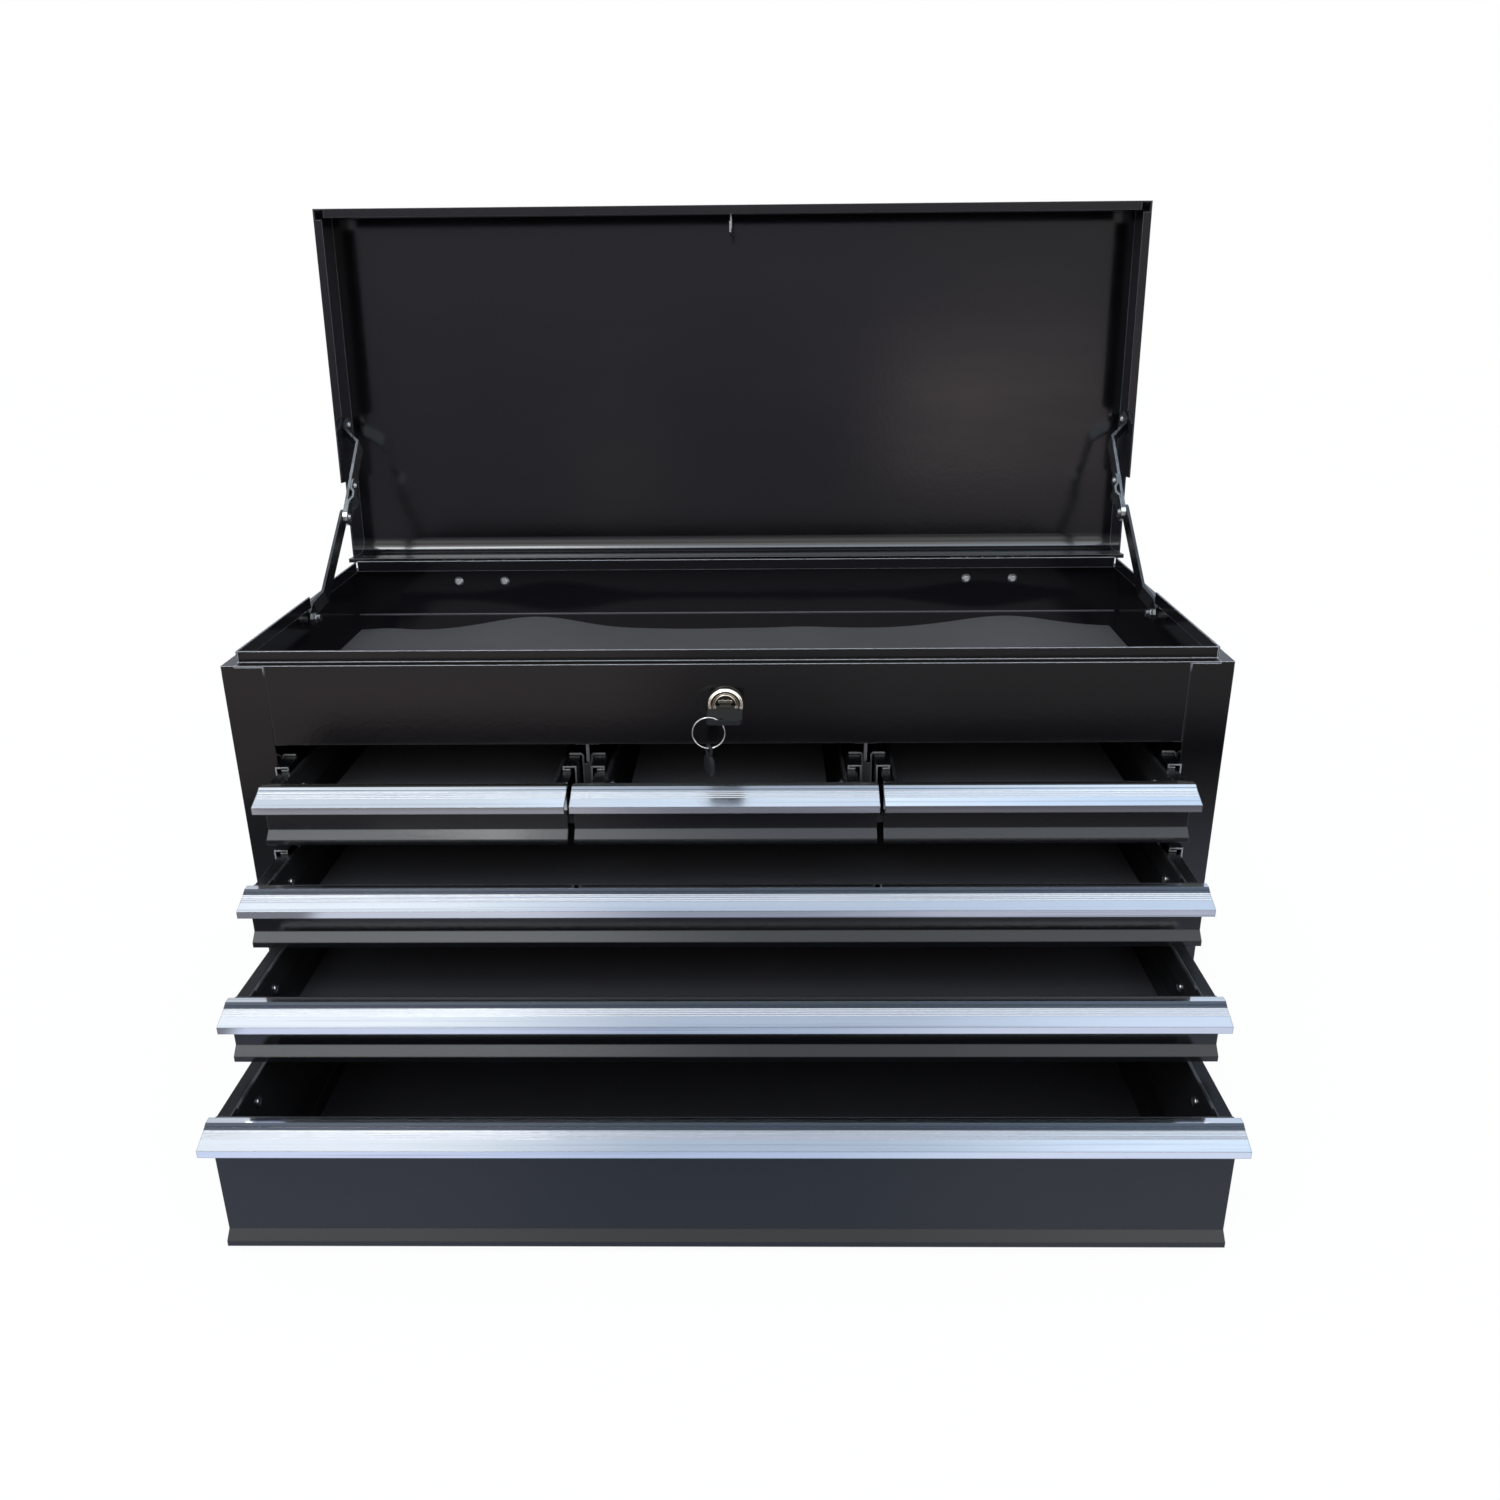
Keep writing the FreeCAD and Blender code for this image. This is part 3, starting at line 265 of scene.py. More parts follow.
def bare_metal(name, low, high, rough, grain, relief, stretch=(1, 1, 1), edge=0.0003, joint=0.0,
               streak=0.0):
    """Metal with a directional grain and slight staining.

    joint is how much painted shade darkens its folds and grooves, and streak how much its drawn lines do.
    """
    made, t = material(name)
    colour = t.mix(t.noise(scale=45, detail=4, rough=0.6), low, high)
    line = t.noise(scale=grain, detail=3, rough=0.6, stretch=stretch)
    if streak:
        drawn = t.noise(scale=260, detail=3, rough=0.7, stretch=(0.006, 1, 1))
        colour = t.mix(t.times(t.smooth(drawn, *STREAK_RANGE), streak), colour, STREAK_TONE)
    # Painted shade along folds and grooves.
    if joint:
        fold = t.painted_light_edge(t.soft_edge(FOLD_SHADE_RADIUS), *FOLD_SHADE_EDGE)
        colour = t.mix(t.times(fold, joint), colour, FOLD_SHADE_TONE)
    normal = t.bump(line, relief, METAL_DEPTH, t.soft_edge(edge))
    t.finish(Base_Color=colour, Metallic=1.0, Roughness=t.span(line, *NOISE_RANGE, *rough),
             Normal=normal)
    return made


def cut_steel(name, low, high, end_low, end_high, rough):
    """Dark pressed section whose sheared ends show bright metal, between end_low and end_high, with a
    painted highlight in those tones along its edges.
    """
    made, t = material(name)
    stain = t.noise(scale=60, detail=4, rough=0.6)
    grain = t.noise(scale=700, detail=2, rough=0.6)
    softened = t.soft_edge(CUT_RADIUS)
    # Painted highlight along the edges, joined with the bright sheared ends.
    edge_highlight = t.times(t.painted_light_edge(softened, *CUT_EDGE), CUT_HIGHLIGHT_SHARE)
    bright = t.math("MAXIMUM", t.cut_end(), edge_highlight)
    colour = t.mix(bright, t.mix(stain, low, high), t.mix(grain, end_low, end_high))
    grained = t.span(grain, *NOISE_RANGE, rough, rough + CUT_ROUGH_SPREAD)
    roughness = t.math("ADD", grained, t.times(bright, CUT_BRIGHT_ROUGHER))
    normal = t.bump(grain, 0.05, METAL_DEPTH, softened)
    t.finish(Base_Color=colour, Metallic=0.9, Roughness=roughness, Normal=normal)
    return made


def plain(name, low, high, rough, grain, relief, depth=0.0003, specular=0.5):
    """Non-metal with a fine surface grain."""
    made, t = material(name)
    cloud = t.noise(scale=14, detail=4, rough=0.6)
    fine = t.noise(scale=grain, detail=3, rough=0.65)
    mottle = t.math("ADD", t.times(cloud, CLOUD_SHARE), t.times(fine, 1 - CLOUD_SHARE))
    colour = t.mix(mottle, low, high)
    normal = t.bump(fine, relief, depth, t.soft_edge(PLAIN_RADIUS))
    t.finish(Base_Color=colour, Roughness=rough, Normal=normal, Specular_IOR_Level=specular)
    return made


def foam(name, low, high):
    """Liner foam of the drawers."""
    return plain(name, low, high, rough=0.7, grain=1500, relief=0.4, depth=0.0004, specular=0.3)


def drawn_aluminium(name, rough, joint, streak):
    """Bright extrusion, its grain and drawn lines running along X."""
    return bare_metal(name, (0.84, 0.86, 0.89), (0.90, 0.91, 0.93), rough, grain=900, relief=0.015,
                      stretch=(0.012, 1, 1), edge=0.00015, joint=joint, streak=streak)


# The case's paler inside, painted light, starts behind its front sheet, a drawer's behind its front (both
# along Y).
CASE = enamel("case_enamel", (0.0020, 0.0018, 0.0019), (0.0038, 0.0035, 0.0037), rough=(0.09, 0.14),
              edge_highlight=(0.05, 0.05, 0.0525), inner=("Object", 1, -0.118, -0.110, (0.0062, 0.0058, 0.0074)),
              rim=(0.283, 0.288, (0.80, 0.824, 0.88)))
LID = enamel("lid_enamel", (0.0024, 0.0023, 0.0028), (0.0046, 0.0044, 0.0052), rough=(0.11, 0.18),
             drop=0.38, side_light=(0.022, 0.022, 0.026))
DRAWER = enamel("drawer_enamel", (0.0030, 0.0031, 0.0038), (0.0054, 0.0055, 0.0066),
                rough=(0.09, 0.14), edge_highlight=(0.03, 0.03, 0.0315), lean=0.30,
                inner=("Generated", 1, 0.030, 0.045, (0.0150, 0.0150, 0.0160)))
INSIDE = enamel("inner_enamel", (0.012, 0.012, 0.013), (0.020, 0.020, 0.021), rough=(0.24, 0.36))
DIVIDER = cut_steel("divider_steel", (0.010, 0.010, 0.011), (0.018, 0.018, 0.019),
                    (0.18, 0.19, 0.19), (0.27, 0.28, 0.28), rough=0.30)
SLIDE = cut_steel("slide_steel", (0.012, 0.012, 0.014), (0.026, 0.027, 0.029),
                  (0.36, 0.37, 0.37), (0.50, 0.51, 0.50), rough=0.24)
ALUMINIUM = drawn_aluminium("pull_aluminium", rough=(0.05, 0.09), joint=0.65, streak=0.40)
SOFT_ALUMINIUM = drawn_aluminium("satin_aluminium", rough=(0.20, 0.25), joint=0.60, streak=0.20)
ZINC = bare_metal("zinc_plate", (0.42, 0.43, 0.43), (0.60, 0.61, 0.60), rough=(0.22, 0.36),
                  grain=500, relief=0.04, stretch=(1, 0.2, 0.2))
DARK_ZINC = bare_metal("dark_zinc", (0.10, 0.10, 0.105), (0.20, 0.20, 0.20), rough=(0.24, 0.38),
                       grain=400, relief=0.05, stretch=(1, 0.3, 0.3))
CHROME = bare_metal("lock_chrome", (0.86, 0.82, 0.74), (0.93, 0.90, 0.83), rough=(0.04, 0.09),
                    grain=300, relief=0.01)
LOCK_CHROME = bare_metal("warm_chrome", (0.88, 0.80, 0.64), (0.94, 0.88, 0.76), rough=(0.04, 0.08),
                         grain=300, relief=0.01)
NICKEL = bare_metal("screw_nickel", (0.90, 0.90, 0.92), (0.96, 0.96, 0.97), rough=(0.42, 0.52),
                    grain=400, relief=0.02)
PLUG = bare_metal("plug_face", (0.11, 0.10, 0.08), (0.18, 0.16, 0.13), rough=(0.16, 0.24),
                  grain=500, relief=0.02)
FOAM = plain("tray_foam", (0.056, 0.053, 0.055), (0.088, 0.084, 0.086), rough=0.75, grain=1500,
             relief=0.5, depth=0.0004, specular=0.25)
# The drawers' liners are one foam in lit and shaded copies: paler in the small drawers (painted light),
# darker in the lower and deep drawers (painted shade).
DRAWER_FOAM = foam("drawer_foam", (0.038, 0.037, 0.042), (0.058, 0.057, 0.063))
DEEP_FOAM_PAINTED_SHADE = foam("deep_foam_painted_shade", (0.021, 0.020, 0.023), (0.033, 0.032, 0.036))
SMALL_FOAM_PAINTED_LIGHT = foam("small_drawer_foam_painted_light", (0.085, 0.084, 0.092), (0.120, 0.118, 0.128))
# Pale tone for the strip that stands in for the highlight along the tray's rear fold.
SEAM_HIGHLIGHT = plain("seam_painted_highlight", (0.10, 0.10, 0.11), (0.16, 0.16, 0.17), rough=0.4, grain=900, relief=0.1)
PLASTIC = plain("key_plastic", (0.008, 0.008, 0.009), (0.014, 0.014, 0.015), rough=0.52, grain=2500,
                relief=0.15, depth=0.0001, specular=0.22)

# A node takes the first finish whose beginnings match its name.
FINISHES = [
    (("lid_pan",), LID),
    (("lid_striker",), ZINC),
    (("drawer_dividers",), DIVIDER),
    (("slide_brackets",), INSIDE),
    (("pull_small_middle",), SOFT_ALUMINIUM),
    (("pull_",), ALUMINIUM),
    (("drawer_",), DRAWER),
    (("liner_small",), SMALL_FOAM_PAINTED_LIGHT),
    (("liner_lower", "liner_deep"), DEEP_FOAM_PAINTED_SHADE),
    (("liner_",), DRAWER_FOAM),
    (("tray_liner",), FOAM),
    (("slide_",), SLIDE),
    (("stay_lower",), DARK_ZINC),
    (("hinge_screws",), NICKEL),
    (("stay_",), ZINC),
    (("lock_plug",), PLUG),
    (("lock_body", "side_handles"), CHROME),
    (("lock_nut", "lock_cam", "key_ring"), ZINC),
    (("key",), PLASTIC),
    (("",), CASE),
]


def dress():
    for name, node in NODES.items():
        finish = next(finish for starts, finish in FINISHES if name.startswith(starts))
        for slot in node.material_slots:
            slot.material = finish
        if not node.material_slots:
            node.data.materials.append(finish)


dress()

# ---- light and surroundings --------------------------------------------------------------------
# What the gloss surfaces mirror is set by rows of (place, left, middle, right) colours.
# The sky's place is its height in degrees, from the front horizon over the zenith to the back.
SKY_ROWS = [
    (-14, (0.34, 0.32, 0.36), (0.34, 0.32, 0.36), (0.36, 0.34, 0.37)),
    (-2, (0.34, 0.32, 0.38), (0.34, 0.33, 0.38), (0.36, 0.34, 0.38)),
    (3, (0.38, 0.36, 0.44), (0.36, 0.34, 0.42), (0.40, 0.38, 0.44)),
    (9, (0.50, 0.48, 0.58), (0.52, 0.50, 0.60), (0.60, 0.59, 0.62)),
    (14, (0.66, 0.62, 0.62), (0.66, 0.62, 0.62), (0.68, 0.64, 0.62)),
    (22, (1.38, 1.37, 1.34), (1.34, 1.34, 1.32), (1.38, 1.38, 1.34)),
    (34, (1.60, 1.67, 1.74), (1.09, 1.14, 1.20), (1.86, 1.93, 2.02)),
    (44, (1.82, 1.91, 2.00), (1.66, 1.78, 1.90), (1.80, 1.91, 2.05)),
    (52, (2.00, 2.15, 2.35), (2.00, 2.20, 2.50), (2.10, 2.30, 2.60)),
    (68, (2.10, 2.35, 2.70), (2.10, 2.40, 2.80), (2.20, 2.45, 2.80)),
    (73, (0.30, 0.34, 0.40), (0.22, 0.26, 0.32), (0.26, 0.31, 0.39)),
    (78, (0.12, 0.14, 0.18), (0.07, 0.09, 0.12), (0.10, 0.13, 0.17)),
    (93.8, (0.13, 0.15, 0.19), (0.08, 0.10, 0.13), (0.11, 0.14, 0.19)),
    (95.6, (0.93, 1.00, 1.07), (0.49, 0.58, 0.71), (0.84, 1.00, 1.18)),
    (101, (0.95, 1.02, 1.09), (0.47, 0.55, 0.68), (0.71, 0.83, 1.01)),
    (108, (0.92, 0.99, 1.07), (0.54, 0.63, 0.78), (0.57, 0.69, 0.86)),
    (112, (0.64, 0.72, 0.81), (0.92, 1.08, 1.26), (0.68, 0.84, 1.06)),
    (180, (0.55, 0.56, 0.60), (0.50, 0.52, 0.58), (0.55, 0.57, 0.62)),
]
# The floor's place is its distance in metres from the object's middle, towards the front.
FLOOR_ROWS = [
    (2.20, (0.36, 0.34, 0.39), (0.34, 0.33, 0.38), (0.36, 0.34, 0.38)),
    (1.10, (0.60, 0.53, 0.54), (0.40, 0.38, 0.40), (0.42, 0.41, 0.43)),
    (0.90, (0.66, 0.57, 0.58), (0.26, 0.24, 0.26), (0.38, 0.37, 0.39)),
    (0.83, (0.58, 0.50, 0.51), (0.20, 0.19, 0.20), (0.32, 0.31, 0.33)),
    (0.80, (0.04, 0.04, 0.06), (0.03, 0.03, 0.05), (0.02, 0.02, 0.04)),
    (0.69, (0.04, 0.04, 0.06), (0.03, 0.03, 0.05), (0.03, 0.03, 0.05)),
    (0.61, (0.58, 0.58, 0.62), (0.15, 0.15, 0.17), (0.26, 0.25, 0.27)),
    (0.50, (0.62, 0.66, 0.78), (0.34, 0.38, 0.48), (0.52, 0.55, 0.68)),
    (0.40, (0.68, 0.76, 0.98), (0.50, 0.60, 0.80), (0.70, 0.78, 0.95)),
    (0.10, (0.75, 0.82, 0.98), (0.66, 0.74, 0.90), (0.75, 0.82, 0.96)),
]
SKY_REACH, FLOOR_REACH = 0.30, 0.20      # where the left and right columns are reached, across
# Things in the sky: their span across and in degrees, as (low, high, soft margin), and their tone.
DOORWAY = (0.095, 0.262, 0.014), (-1.2, 4.8, 0.9), (1.22, 1.08, 1.10)
SOFTBOX = (-0.52, -0.10, 0.10), (36, 68, 4), (3.5, 3.68, 3.82)
# A shelf fades out upwards, and is only partly there.
SHELF_ACROSS, SHELF_FADE = (-0.146, -0.088, 0.012), (6.5, -1.0)
SHELF_TONE, SHELF_SHARE = (0.62, 0.58, 0.60), 0.7
# Patches of floor beyond the object's left: where each starts, its span towards the front, its tone.
FLOOR_PATCHES = [((-0.495, -0.515), (0.62, 0.86, 0.02), (0.52, 0.47, 0.47)),
                 ((-0.352, -0.372), (0.385, 0.60, 0.02), (0.20, 0.21, 0.24))]
FLOOR_SIZE, FLOOR_DROP = 12, 0.0004
BOUNCE_TONE = (0.62, 0.62, 0.62)         # floor as the diffuse light meets it
SHADOW_TONE, GLOW_SHARE = (0.95, 0.95, 0.95), 0.95
WHITE = (1, 1, 1)


def rows_ramp(t, place, rows, column):
    """Colour ramp through one column of rows, over their whole span."""
    places = [row[0] for row in rows]
    low, high = min(places), max(places)
    ramp = t.node("ShaderNodeValToRGB", Fac=t.span(place, low, high, 0, 1))
    band = ramp.color_ramp
    while len(band.elements) < len(rows):
        band.elements.new(0.5)
    for element, row in zip(band.elements, sorted(rows)):
        element.position = (row[0] - low) / (high - low)
        element.color = row[column] + (1,)
    return ramp.outputs[0]


def three_columns(t, place, across, reach, rows):
    """Left, middle and right ramps blended across the view."""
    left, middle, right = (rows_ramp(t, place, rows, column) for column in (1, 2, 3))
    leftness = t.smooth(across, -0.2 * reach, -reach)
    rightness = t.smooth(across, 0.2 * reach, reach)
    return t.mix(rightness, t.mix(leftness, middle, left), right)


def add_world():
    """A pale studio: brighter overhead and in front, white wherever the camera looks past the object."""
    world = bpy.data.worlds.new("studio")
    bpy.context.scene.world = world
    t = Tree(world)
    across, away, height = t.split("Generated")
    turn = t.math("ARCTAN2", height, t.times(away, -1.0))
    degrees = t.times(turn, 180 / math.pi)
    colour = three_columns(t, degrees, across, SKY_REACH, SKY_ROWS)
    doorway = t.times(t.between(across, *DOORWAY[0]), t.between(degrees, *DOORWAY[1]))
    colour = t.mix(doorway, colour, DOORWAY[2])
    shelf = t.times(t.between(across, *SHELF_ACROSS), t.smooth(degrees, *SHELF_FADE))
    colour = t.mix(t.times(shelf, SHELF_SHARE), colour, SHELF_TONE)
    softbox = t.times(t.between(across, *SOFTBOX[0]), t.between(degrees, *SOFTBOX[1]))
    colour = t.mix(softbox, colour, SOFTBOX[2])
    lit = t.node("ShaderNodeBackground", Color=colour, Strength=1.0)
    white = t.node("ShaderNodeBackground", Color=WHITE, Strength=1.0)
    path = t.node("ShaderNodeLightPath")
    seen = t.node("ShaderNodeMixShader", i0=path.outputs["Is Camera Ray"], i1=lit.outputs[0],
                  i2=white.outputs[0])
    out = t.node("ShaderNodeOutputWorld")
    t.tree.links.new(seen.outputs[0], out.inputs[0])


def add_floor():
    """White table: gloss surfaces see it in soft tones, and it keeps the object's shadow."""
    bpy.ops.mesh.primitive_plane_add(size=FLOOR_SIZE, location=(0, 0, -FLOOR_DROP))
    floor = bpy.context.object
    floor.name = "floor"
    made, t = material("pale_floor")
    path = t.node("ShaderNodeLightPath")
    across, away, _ = t.split("Object")
    toward = t.times(away, -1.0)
    tones = three_columns(t, toward, across, FLOOR_REACH, FLOOR_ROWS)
    for start, span, tone in FLOOR_PATCHES:
        patch = t.times(t.smooth(across, *start), t.between(toward, *span))
        tones = t.mix(patch, tones, tone)
    diffuse = t.node("ShaderNodeBsdfDiffuse", Color=BOUNCE_TONE)
    mirrored = t.node("ShaderNodeEmission", Color=tones, Strength=1.0)
    mirror_view = t.math("MAXIMUM", path.outputs["Is Glossy Ray"], path.outputs["Is Transmission Ray"])
    lighting = t.node("ShaderNodeMixShader", i0=mirror_view, i1=diffuse.outputs[0],
                      i2=mirrored.outputs[0])
    shadow_catch = t.node("ShaderNodeBsdfDiffuse", Color=SHADOW_TONE)
    glow = t.node("ShaderNodeEmission", Color=WHITE, Strength=1.0)
    white = t.node("ShaderNodeMixShader", i0=GLOW_SHARE, i1=shadow_catch.outputs[0],
                   i2=glow.outputs[0])
    shown = t.node("ShaderNodeMixShader", i0=path.outputs["Is Camera Ray"], i1=lighting.outputs[0],
                   i2=white.outputs[0])
    out = t.node("ShaderNodeOutputMaterial")
    t.tree.links.new(shown.outputs[0], out.inputs[0])
    floor.data.materials.append(made)


def add_lamp(name, at, target, width, height, power, colour):
    data = bpy.data.lights.new(name, "AREA")
    data.shape = "RECTANGLE"
    data.size = width
    data.size_y = height
    data.energy = power
    data.color = colour
    lamp = bpy.data.objects.new(name, data)
    lamp.location = at
    lamp.rotation_euler = (Vector(target) - Vector(at)).to_track_quat("-Z", "Y").to_euler()
    bpy.context.scene.collection.objects.link(lamp)


add_world()
add_floor()
add_lamp("softbox_front", at=(-0.9, -1.5, 2.3), target=(0, -0.1, 0.2), width=0.9, height=0.7,
         power=7, colour=(1.0, 0.98, 0.95))


# ---- mesh helpers ------------------------------------------------------------------------------
def add_piece(name, bm, finish, body, smooth=True):
    mesh = bpy.data.meshes.new(name)
    bmesh.ops.recalc_face_normals(bm, faces=bm.faces)
    bm.to_mesh(mesh)
    bm.free()
    for face in mesh.polygons:
        face.use_smooth = smooth
    piece = bpy.data.objects.new(name, mesh)
    bpy.context.scene.collection.objects.link(piece)
    mesh.materials.append(finish)
    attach(piece, body)
    return piece


def bevel_edges(piece, width, segments):
    bevel = piece.modifiers.new("edge", "BEVEL")
    bevel.width = width
    bevel.segments = segments
    return bevel


def join_meshes(bm, other):
    mesh = bpy.data.meshes.new("part")
    other.to_mesh(mesh)
    other.free()
    bm.from_mesh(mesh)
    bpy.data.meshes.remove(mesh)


def add_box(bm, centre, size, turn=Matrix.Identity(4)):
    scale = Matrix.Diagonal((*size, 1))
    bmesh.ops.create_cube(bm, size=1.0, matrix=Matrix.Translation(centre) @ turn @ scale)


def lathe(profile, steps, at, toward):
    """Form turned from (radius, along) points.  Along runs from at in the direction toward."""
    bm = bmesh.new()
    axis = Vector(toward).normalized()
    side = axis.orthogonal().normalized()
    other = axis.cross(side)
    rings = []
    for radius, along in profile:
        centre = Vector(at) + axis * along
        if radius < TINY:
            rings.append([bm.verts.new(centre)])
            continue
        ring = []
        for i in range(steps):
            a = 2 * math.pi * i / steps
            ring.append(bm.verts.new(centre + side * math.cos(a) * radius + other * math.sin(a) * radius))
        rings.append(ring)
    for low, high in zip(rings, rings[1:]):
        for i in range(steps):
            j = (i + 1) % steps
            corners = [low[i % len(low)], low[j % len(low)], high[j % len(high)], high[i % len(high)]]
            unique = list(dict.fromkeys(corners))
            if len(unique) > 2:
                bm.faces.new(unique)
    return bm


def ring_form(profile, steps, at, toward):
    """Lathe a closed profile that does not touch the axis."""
    bm = lathe(profile + profile[:1], steps, at, toward)
    bmesh.ops.remove_doubles(bm, verts=bm.verts, dist=TINY)
    return bm


def arc(centre_r, centre_h, radius, start, end, steps=6):
    """Points (radius from the axis, height) along an arc.  Lengths in millimetres, angles in degrees."""
    angles = [math.radians(start + (end - start) * i / steps) for i in range(steps + 1)]
    return [((centre_r + radius * math.cos(a)) * MM, (centre_h + radius * math.sin(a)) * MM)
            for a in angles]


# ---- tray liner: a foam sheet that has buckled along its rear edge -----------------------------
LINER_COLUMNS, LINER_ROWS = 160, 40
ROW_CROWDING = 0.8            # below one, rows lie closer towards the rear
BUCKLE_DEPTH = 0.075          # from the rear edge to where the buckling has faded out
# Centre, width and height of each wave.
WAVES = [(-0.151, 0.112, 0.0098), (0.203, 0.120, 0.0085), (-0.262, 0.04, 0.0012), (0.05, 0.05, 0.001)]
WAVE_SPREAD = 0.42            # of a wave's width, where its height has dropped to 1/e
# Wander of the rear edge: reach, radians per metre and phase of each sine.
RIPPLES = [(0.0006, 37, 0), (0.0004, 91, 1)]
EDGE_SHARE, EDGE_ANGLE = 0.2, 50         # bevel's share of the thickness, and its least angle


def tray_liner():
    low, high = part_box("tray_liner")
    columns, rows = LINER_COLUMNS, LINER_ROWS
    bm = bmesh.new()

    def lift(x, y):
        back = max(0.0, (y - (high[1] - BUCKLE_DEPTH)) / BUCKLE_DEPTH)
        rise = sum(h * math.exp(-((x - c) / (WAVE_SPREAD * w)) ** 2) for c, w, h in WAVES)
        return rise * back ** 2 * (3 - 2 * back)

    def ripple(x):
        return sum(reach * math.sin(x * pace + phase) for reach, pace, phase in RIPPLES)

    top, under = [], []
    for j in range(rows + 1):
        for layer, z in ((top, high[2]), (under, low[2])):
            line = []
            for i in range(columns + 1):
                x = low[0] + (high[0] - low[0]) * i / columns
                y = low[1] + (high[1] - low[1]) * (j / rows) ** ROW_CROWDING
                y_edge = y + ripple(x) * (j / rows)
                line.append(bm.verts.new((x, y_edge, z + lift(x, y))))
            layer.append(line)
    for j in range(rows):
        for i in range(columns):
            bm.faces.new((top[j][i], top[j][i + 1], top[j + 1][i + 1], top[j + 1][i]))
            bm.faces.new((under[j][i], under[j + 1][i], under[j + 1][i + 1], under[j][i + 1]))
    for j in (0, rows):
        for i in range(columns):
            bm.faces.new((under[j][i], under[j][i + 1], top[j][i + 1], top[j][i]))
    for i in (0, columns):
        for j in range(rows):
            bm.faces.new((under[j][i], under[j + 1][i], top[j + 1][i], top[j][i]))
    piece = add_piece("tray_liner_sheet", bm, FOAM, "cabinet", smooth=False)
    bevel = bevel_edges(piece, width=(high[2] - low[2]) * EDGE_SHARE, segments=2)
    bevel.limit_method = "ANGLE"
    bevel.angle_limit = math.radians(EDGE_ANGLE)
    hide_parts("tray_liner")


SEAM_WIDTH = 0.7 * MM
SEAM_SET, SEAM_RISE, SEAM_SHORT = 0.5 * MM, 0.35 * MM, 4 * MM


def tray_seam_highlight():
    """Painted highlight: a pale strip along the fold where the tray's floor meets its rear wall."""
    low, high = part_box("tray_floor")
    bm = bmesh.new()
    centre = Vector(((low[0] + high[0]) / 2, high[1] - SEAM_SET, high[2] + SEAM_RISE))
    add_box(bm, centre, (high[0] - low[0] - SEAM_SHORT, SEAM_WIDTH, SEAM_WIDTH))
    add_piece("tray_seam_highlight", bm, SEAM_HIGHLIGHT, "cabinet", smooth=False)


tray_liner()
tray_seam_highlight()

# ---- drawer screws: a crossed pan head on each inner side --------------------------------------
FRONT_Y = -128.0              # front of the case, in millimetres
# Name, how far the drawer is pulled out, and the height of its pull's top.
DRAWERS = [("small_left", 36.5, 225.0), ("small_middle", 36.5, 225.0), ("small_right", 36.5, 225.0),
           ("upper", 77.5, 178.5), ("lower", 124.0, 132.0), ("deep", 169.5, 85.5)]
SCREW_BACK, SCREW_DROP = 40.0, 15.0      # behind the drawer's face and below the pull's top
LINER_MARGIN = 8 * MM                    # from a liner's side to the drawer's inner side
HEAD_RADIUS, HEAD_HEIGHT = 3.2 * MM, 1.7 * MM
HEAD_EDGE = 0.25                         # straight edge of the head, as a share of its height
HEAD_STEPS = 20
CROSS_RADIUS, CROSS_WIDTH, CROSS_THICK, CROSS_OUT = 1.7 * MM, 0.55 * MM, 0.12 * MM, 1.75 * MM
CROSS_TURNS = 40, 130                    # degrees


def screw_head(at, toward):
    profile = [(0, 0), (HEAD_RADIUS, 0), (HEAD_RADIUS, HEAD_HEIGHT * HEAD_EDGE)]
    profile += [(HEAD_RADIUS * math.cos(a), HEAD_HEIGHT * (HEAD_EDGE + (1 - HEAD_EDGE) * math.sin(a)))
                for a in (math.radians(d) for d in (15, 30, 45, 60, 75))]
    profile.append((0, HEAD_HEIGHT))
    return lathe(profile, HEAD_STEPS, at, toward)


# The cross is a thin dark plate on the head's top: painted shade standing in for the recess.
def screw_cross(at, toward):
    bm = bmesh.new()
    axis = Vector(toward)
    for turn in CROSS_TURNS:
        add_box(bm, Vector(at) + axis * CROSS_OUT, (CROSS_THICK, 2 * CROSS_RADIUS, CROSS_WIDTH),
                Matrix.Rotation(math.radians(turn), 4, axis))
    return bm


def drawer_screws():
    for name, out, top in DRAWERS:
        low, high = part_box("liner_" + name)
        y = (FRONT_Y - out + SCREW_BACK) * MM
        z = (top - SCREW_DROP) * MM
        heads, crosses = bmesh.new(), bmesh.new()
        for x, way in ((low[0] - LINER_MARGIN, 1), (high[0] + LINER_MARGIN, -1)):
            toward = (way, 0, 0)
            join_meshes(heads, screw_head((x, y, z), toward))
            join_meshes(crosses, screw_cross((x, y, z), toward))
        add_piece("screws_" + name, heads, ZINC, "drawer_" + name)
        # Painted shade: the dark cross plates stand in for the recesses.
        add_piece("recess_shade_" + name, crosses, DARK_ZINC, "drawer_" + name, smooth=False)


drawer_screws()

# ---- lock, ring and the key that hangs on it, in millimetres -----------------------------------
LOCK_Z = 264.4
LOCK_AT = Vector((0, FRONT_Y, LOCK_Z)) * MM
FORWARD = Vector((0, -1, 0))
BARREL_R, BARREL_BACK, FLANGE_R, BORE_R = 9.2, -8.9, 10.9, 7.15
GROOVE_SHADE = [(7.85, 2.2), (7.95, 3.02), (8.70, 3.32), (8.75, 2.2)]      # black ring in the bezel's groove, painted shade
WAFER_COUNT, WAFER_PITCH, WAFER_WIDTH, WAFER_THICK = 5, 1.75, 1.45, 0.5
WAFER_HEIGHTS = 1.9, 2.3                 # they alternate
WAFER_OUT, WAFER_FOOT = 2.45, 1.3        # before the case's front and above the lock's axis
RING_AT = Vector((-9.3, -156.0, 256.3)) * MM
RING_R, WIRE_R, COIL_SHIFT = 9.62, 0.29, 0.3
KEY_EYE = Vector((-9.3, -156.0, 245.4))
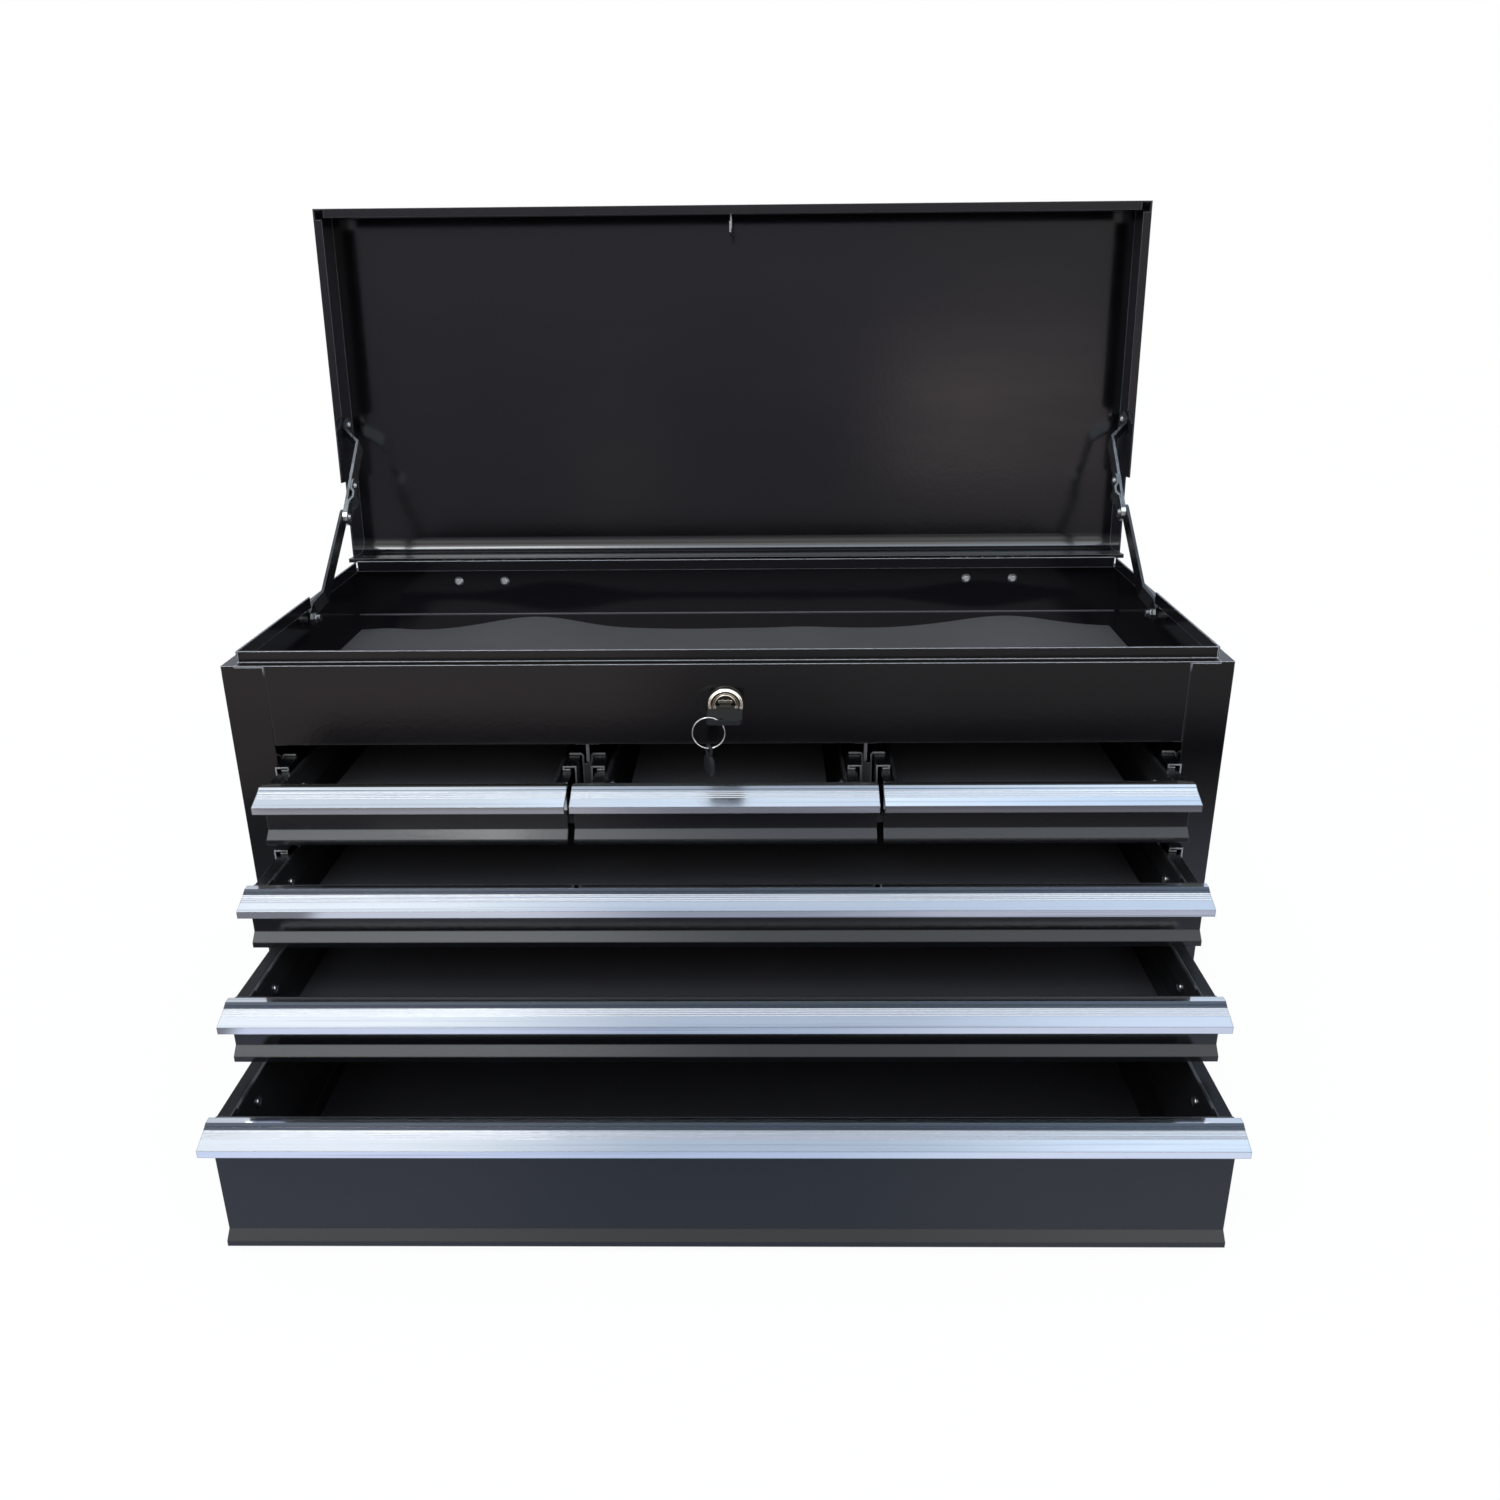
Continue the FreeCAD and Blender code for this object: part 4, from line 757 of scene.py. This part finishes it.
KEY_WIDE, KEY_THROUGH = Vector((-0.5, 0.866, 0)), Vector((0.866, 0.5, 0))
BOW_HALF_THICK = 1.25
# One side of the bow, as (across, below the eye).
BOW_SIDE = [(3.0, 3.0), (5.2, 6.2), (5.5, 9.5), (5.3, 12.6), (4.4, 14.8), (2.6, 15.8)]
LUG_R, LUG_WIRE_R = 2.95, 0.95


def lock_bezel():
    """Rounded bezel with a dished inside, and the barrel behind it."""
    profile = [(BARREL_R * MM, BARREL_BACK * MM), (BARREL_R * MM, 0.0), (FLANGE_R * MM, 0.0)]
    profile += arc(9.6, 2.0, 1.35, 0, 90)
    profile += arc(9.5, 2.9, 1.0, 90, 170)
    profile += arc(7.6, 2.5, 0.45, 0, 170, 4)
    profile.append((BORE_R * MM, BARREL_BACK * MM))
    bezel = ring_form(profile, 64, LOCK_AT, FORWARD)
    piece = add_piece("lock_bezel", bezel, LOCK_CHROME, "cabinet")
    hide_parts("lock_body")
    # Painted shade: a black ring laid in the bezel's groove.
    groove = ring_form([(radius * MM, out * MM) for radius, out in GROOVE_SHADE], 64, LOCK_AT, FORWARD)
    add_piece("bezel_groove_shade", groove, PLASTIC, "cabinet")


def lock_wafers():
    """Bright wafers that show above the key blade in the plug's face."""
    bm = bmesh.new()
    for i in range(WAFER_COUNT):
        x = (i - (WAFER_COUNT - 1) / 2) * WAFER_PITCH
        height = WAFER_HEIGHTS[i % 2]
        centre = Vector((x, FRONT_Y - WAFER_OUT, LOCK_Z + WAFER_FOOT + height / 2)) * MM
        add_box(bm, centre, (WAFER_WIDTH * MM, WAFER_THICK * MM, height * MM))
    piece = add_piece("lock_wafers", bm, LOCK_CHROME, "lock", smooth=False)
    bevel_edges(piece, width=0.12 * MM, segments=2)


def plug_rim():
    """Rolled rim of the plug's face."""
    rim = ring_form(arc(6.35, 2.2, 0.6, -10, 190, 8), 56, LOCK_AT, FORWARD)
    add_piece("plug_rim", rim, LOCK_CHROME, "lock")


def split_ring():
    """Two close turns of wire."""
    wires = bmesh.new()
    for shift in (-COIL_SHIFT, COIL_SHIFT):
        wire = arc(RING_R, shift, WIRE_R, 0, 330, 11)
        join_meshes(wires, ring_form(wire, 96, RING_AT, FORWARD))
    piece = add_piece("split_ring", wires, CHROME, "key_ring")
    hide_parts("key_ring")


def hanging_key():
    """Moulded bow of the second key, with the lug that the ring goes through."""
    outline = BOW_SIDE + [(-across, down) for across, down in reversed(BOW_SIDE)]
    bm = bmesh.new()
    near, far = ([bm.verts.new((KEY_EYE + KEY_WIDE * across + KEY_THROUGH * layer
                                + Vector((0, 0, -down))) * MM) for across, down in outline]
                 for layer in (-BOW_HALF_THICK, BOW_HALF_THICK))
    bm.faces.new(near)
    bm.faces.new(far[::-1])
    for i in range(len(outline)):
        bm.faces.new((near[i - 1], near[i], far[i], far[i - 1]))
    bow = add_piece("hanging_key_bow", bm, PLASTIC, "key_ring")
    bevel_edges(bow, width=0.8 * MM, segments=3)
    lug = ring_form(arc(LUG_R, 0.0, LUG_WIRE_R, 0, 330, 11), 40, KEY_EYE * MM, KEY_THROUGH)
    add_piece("hanging_key_lug", lug, PLASTIC, "key_ring")
    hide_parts("key_tag")


lock_bezel()
hanging_key()
plug_rim()
lock_wafers()
split_ring()
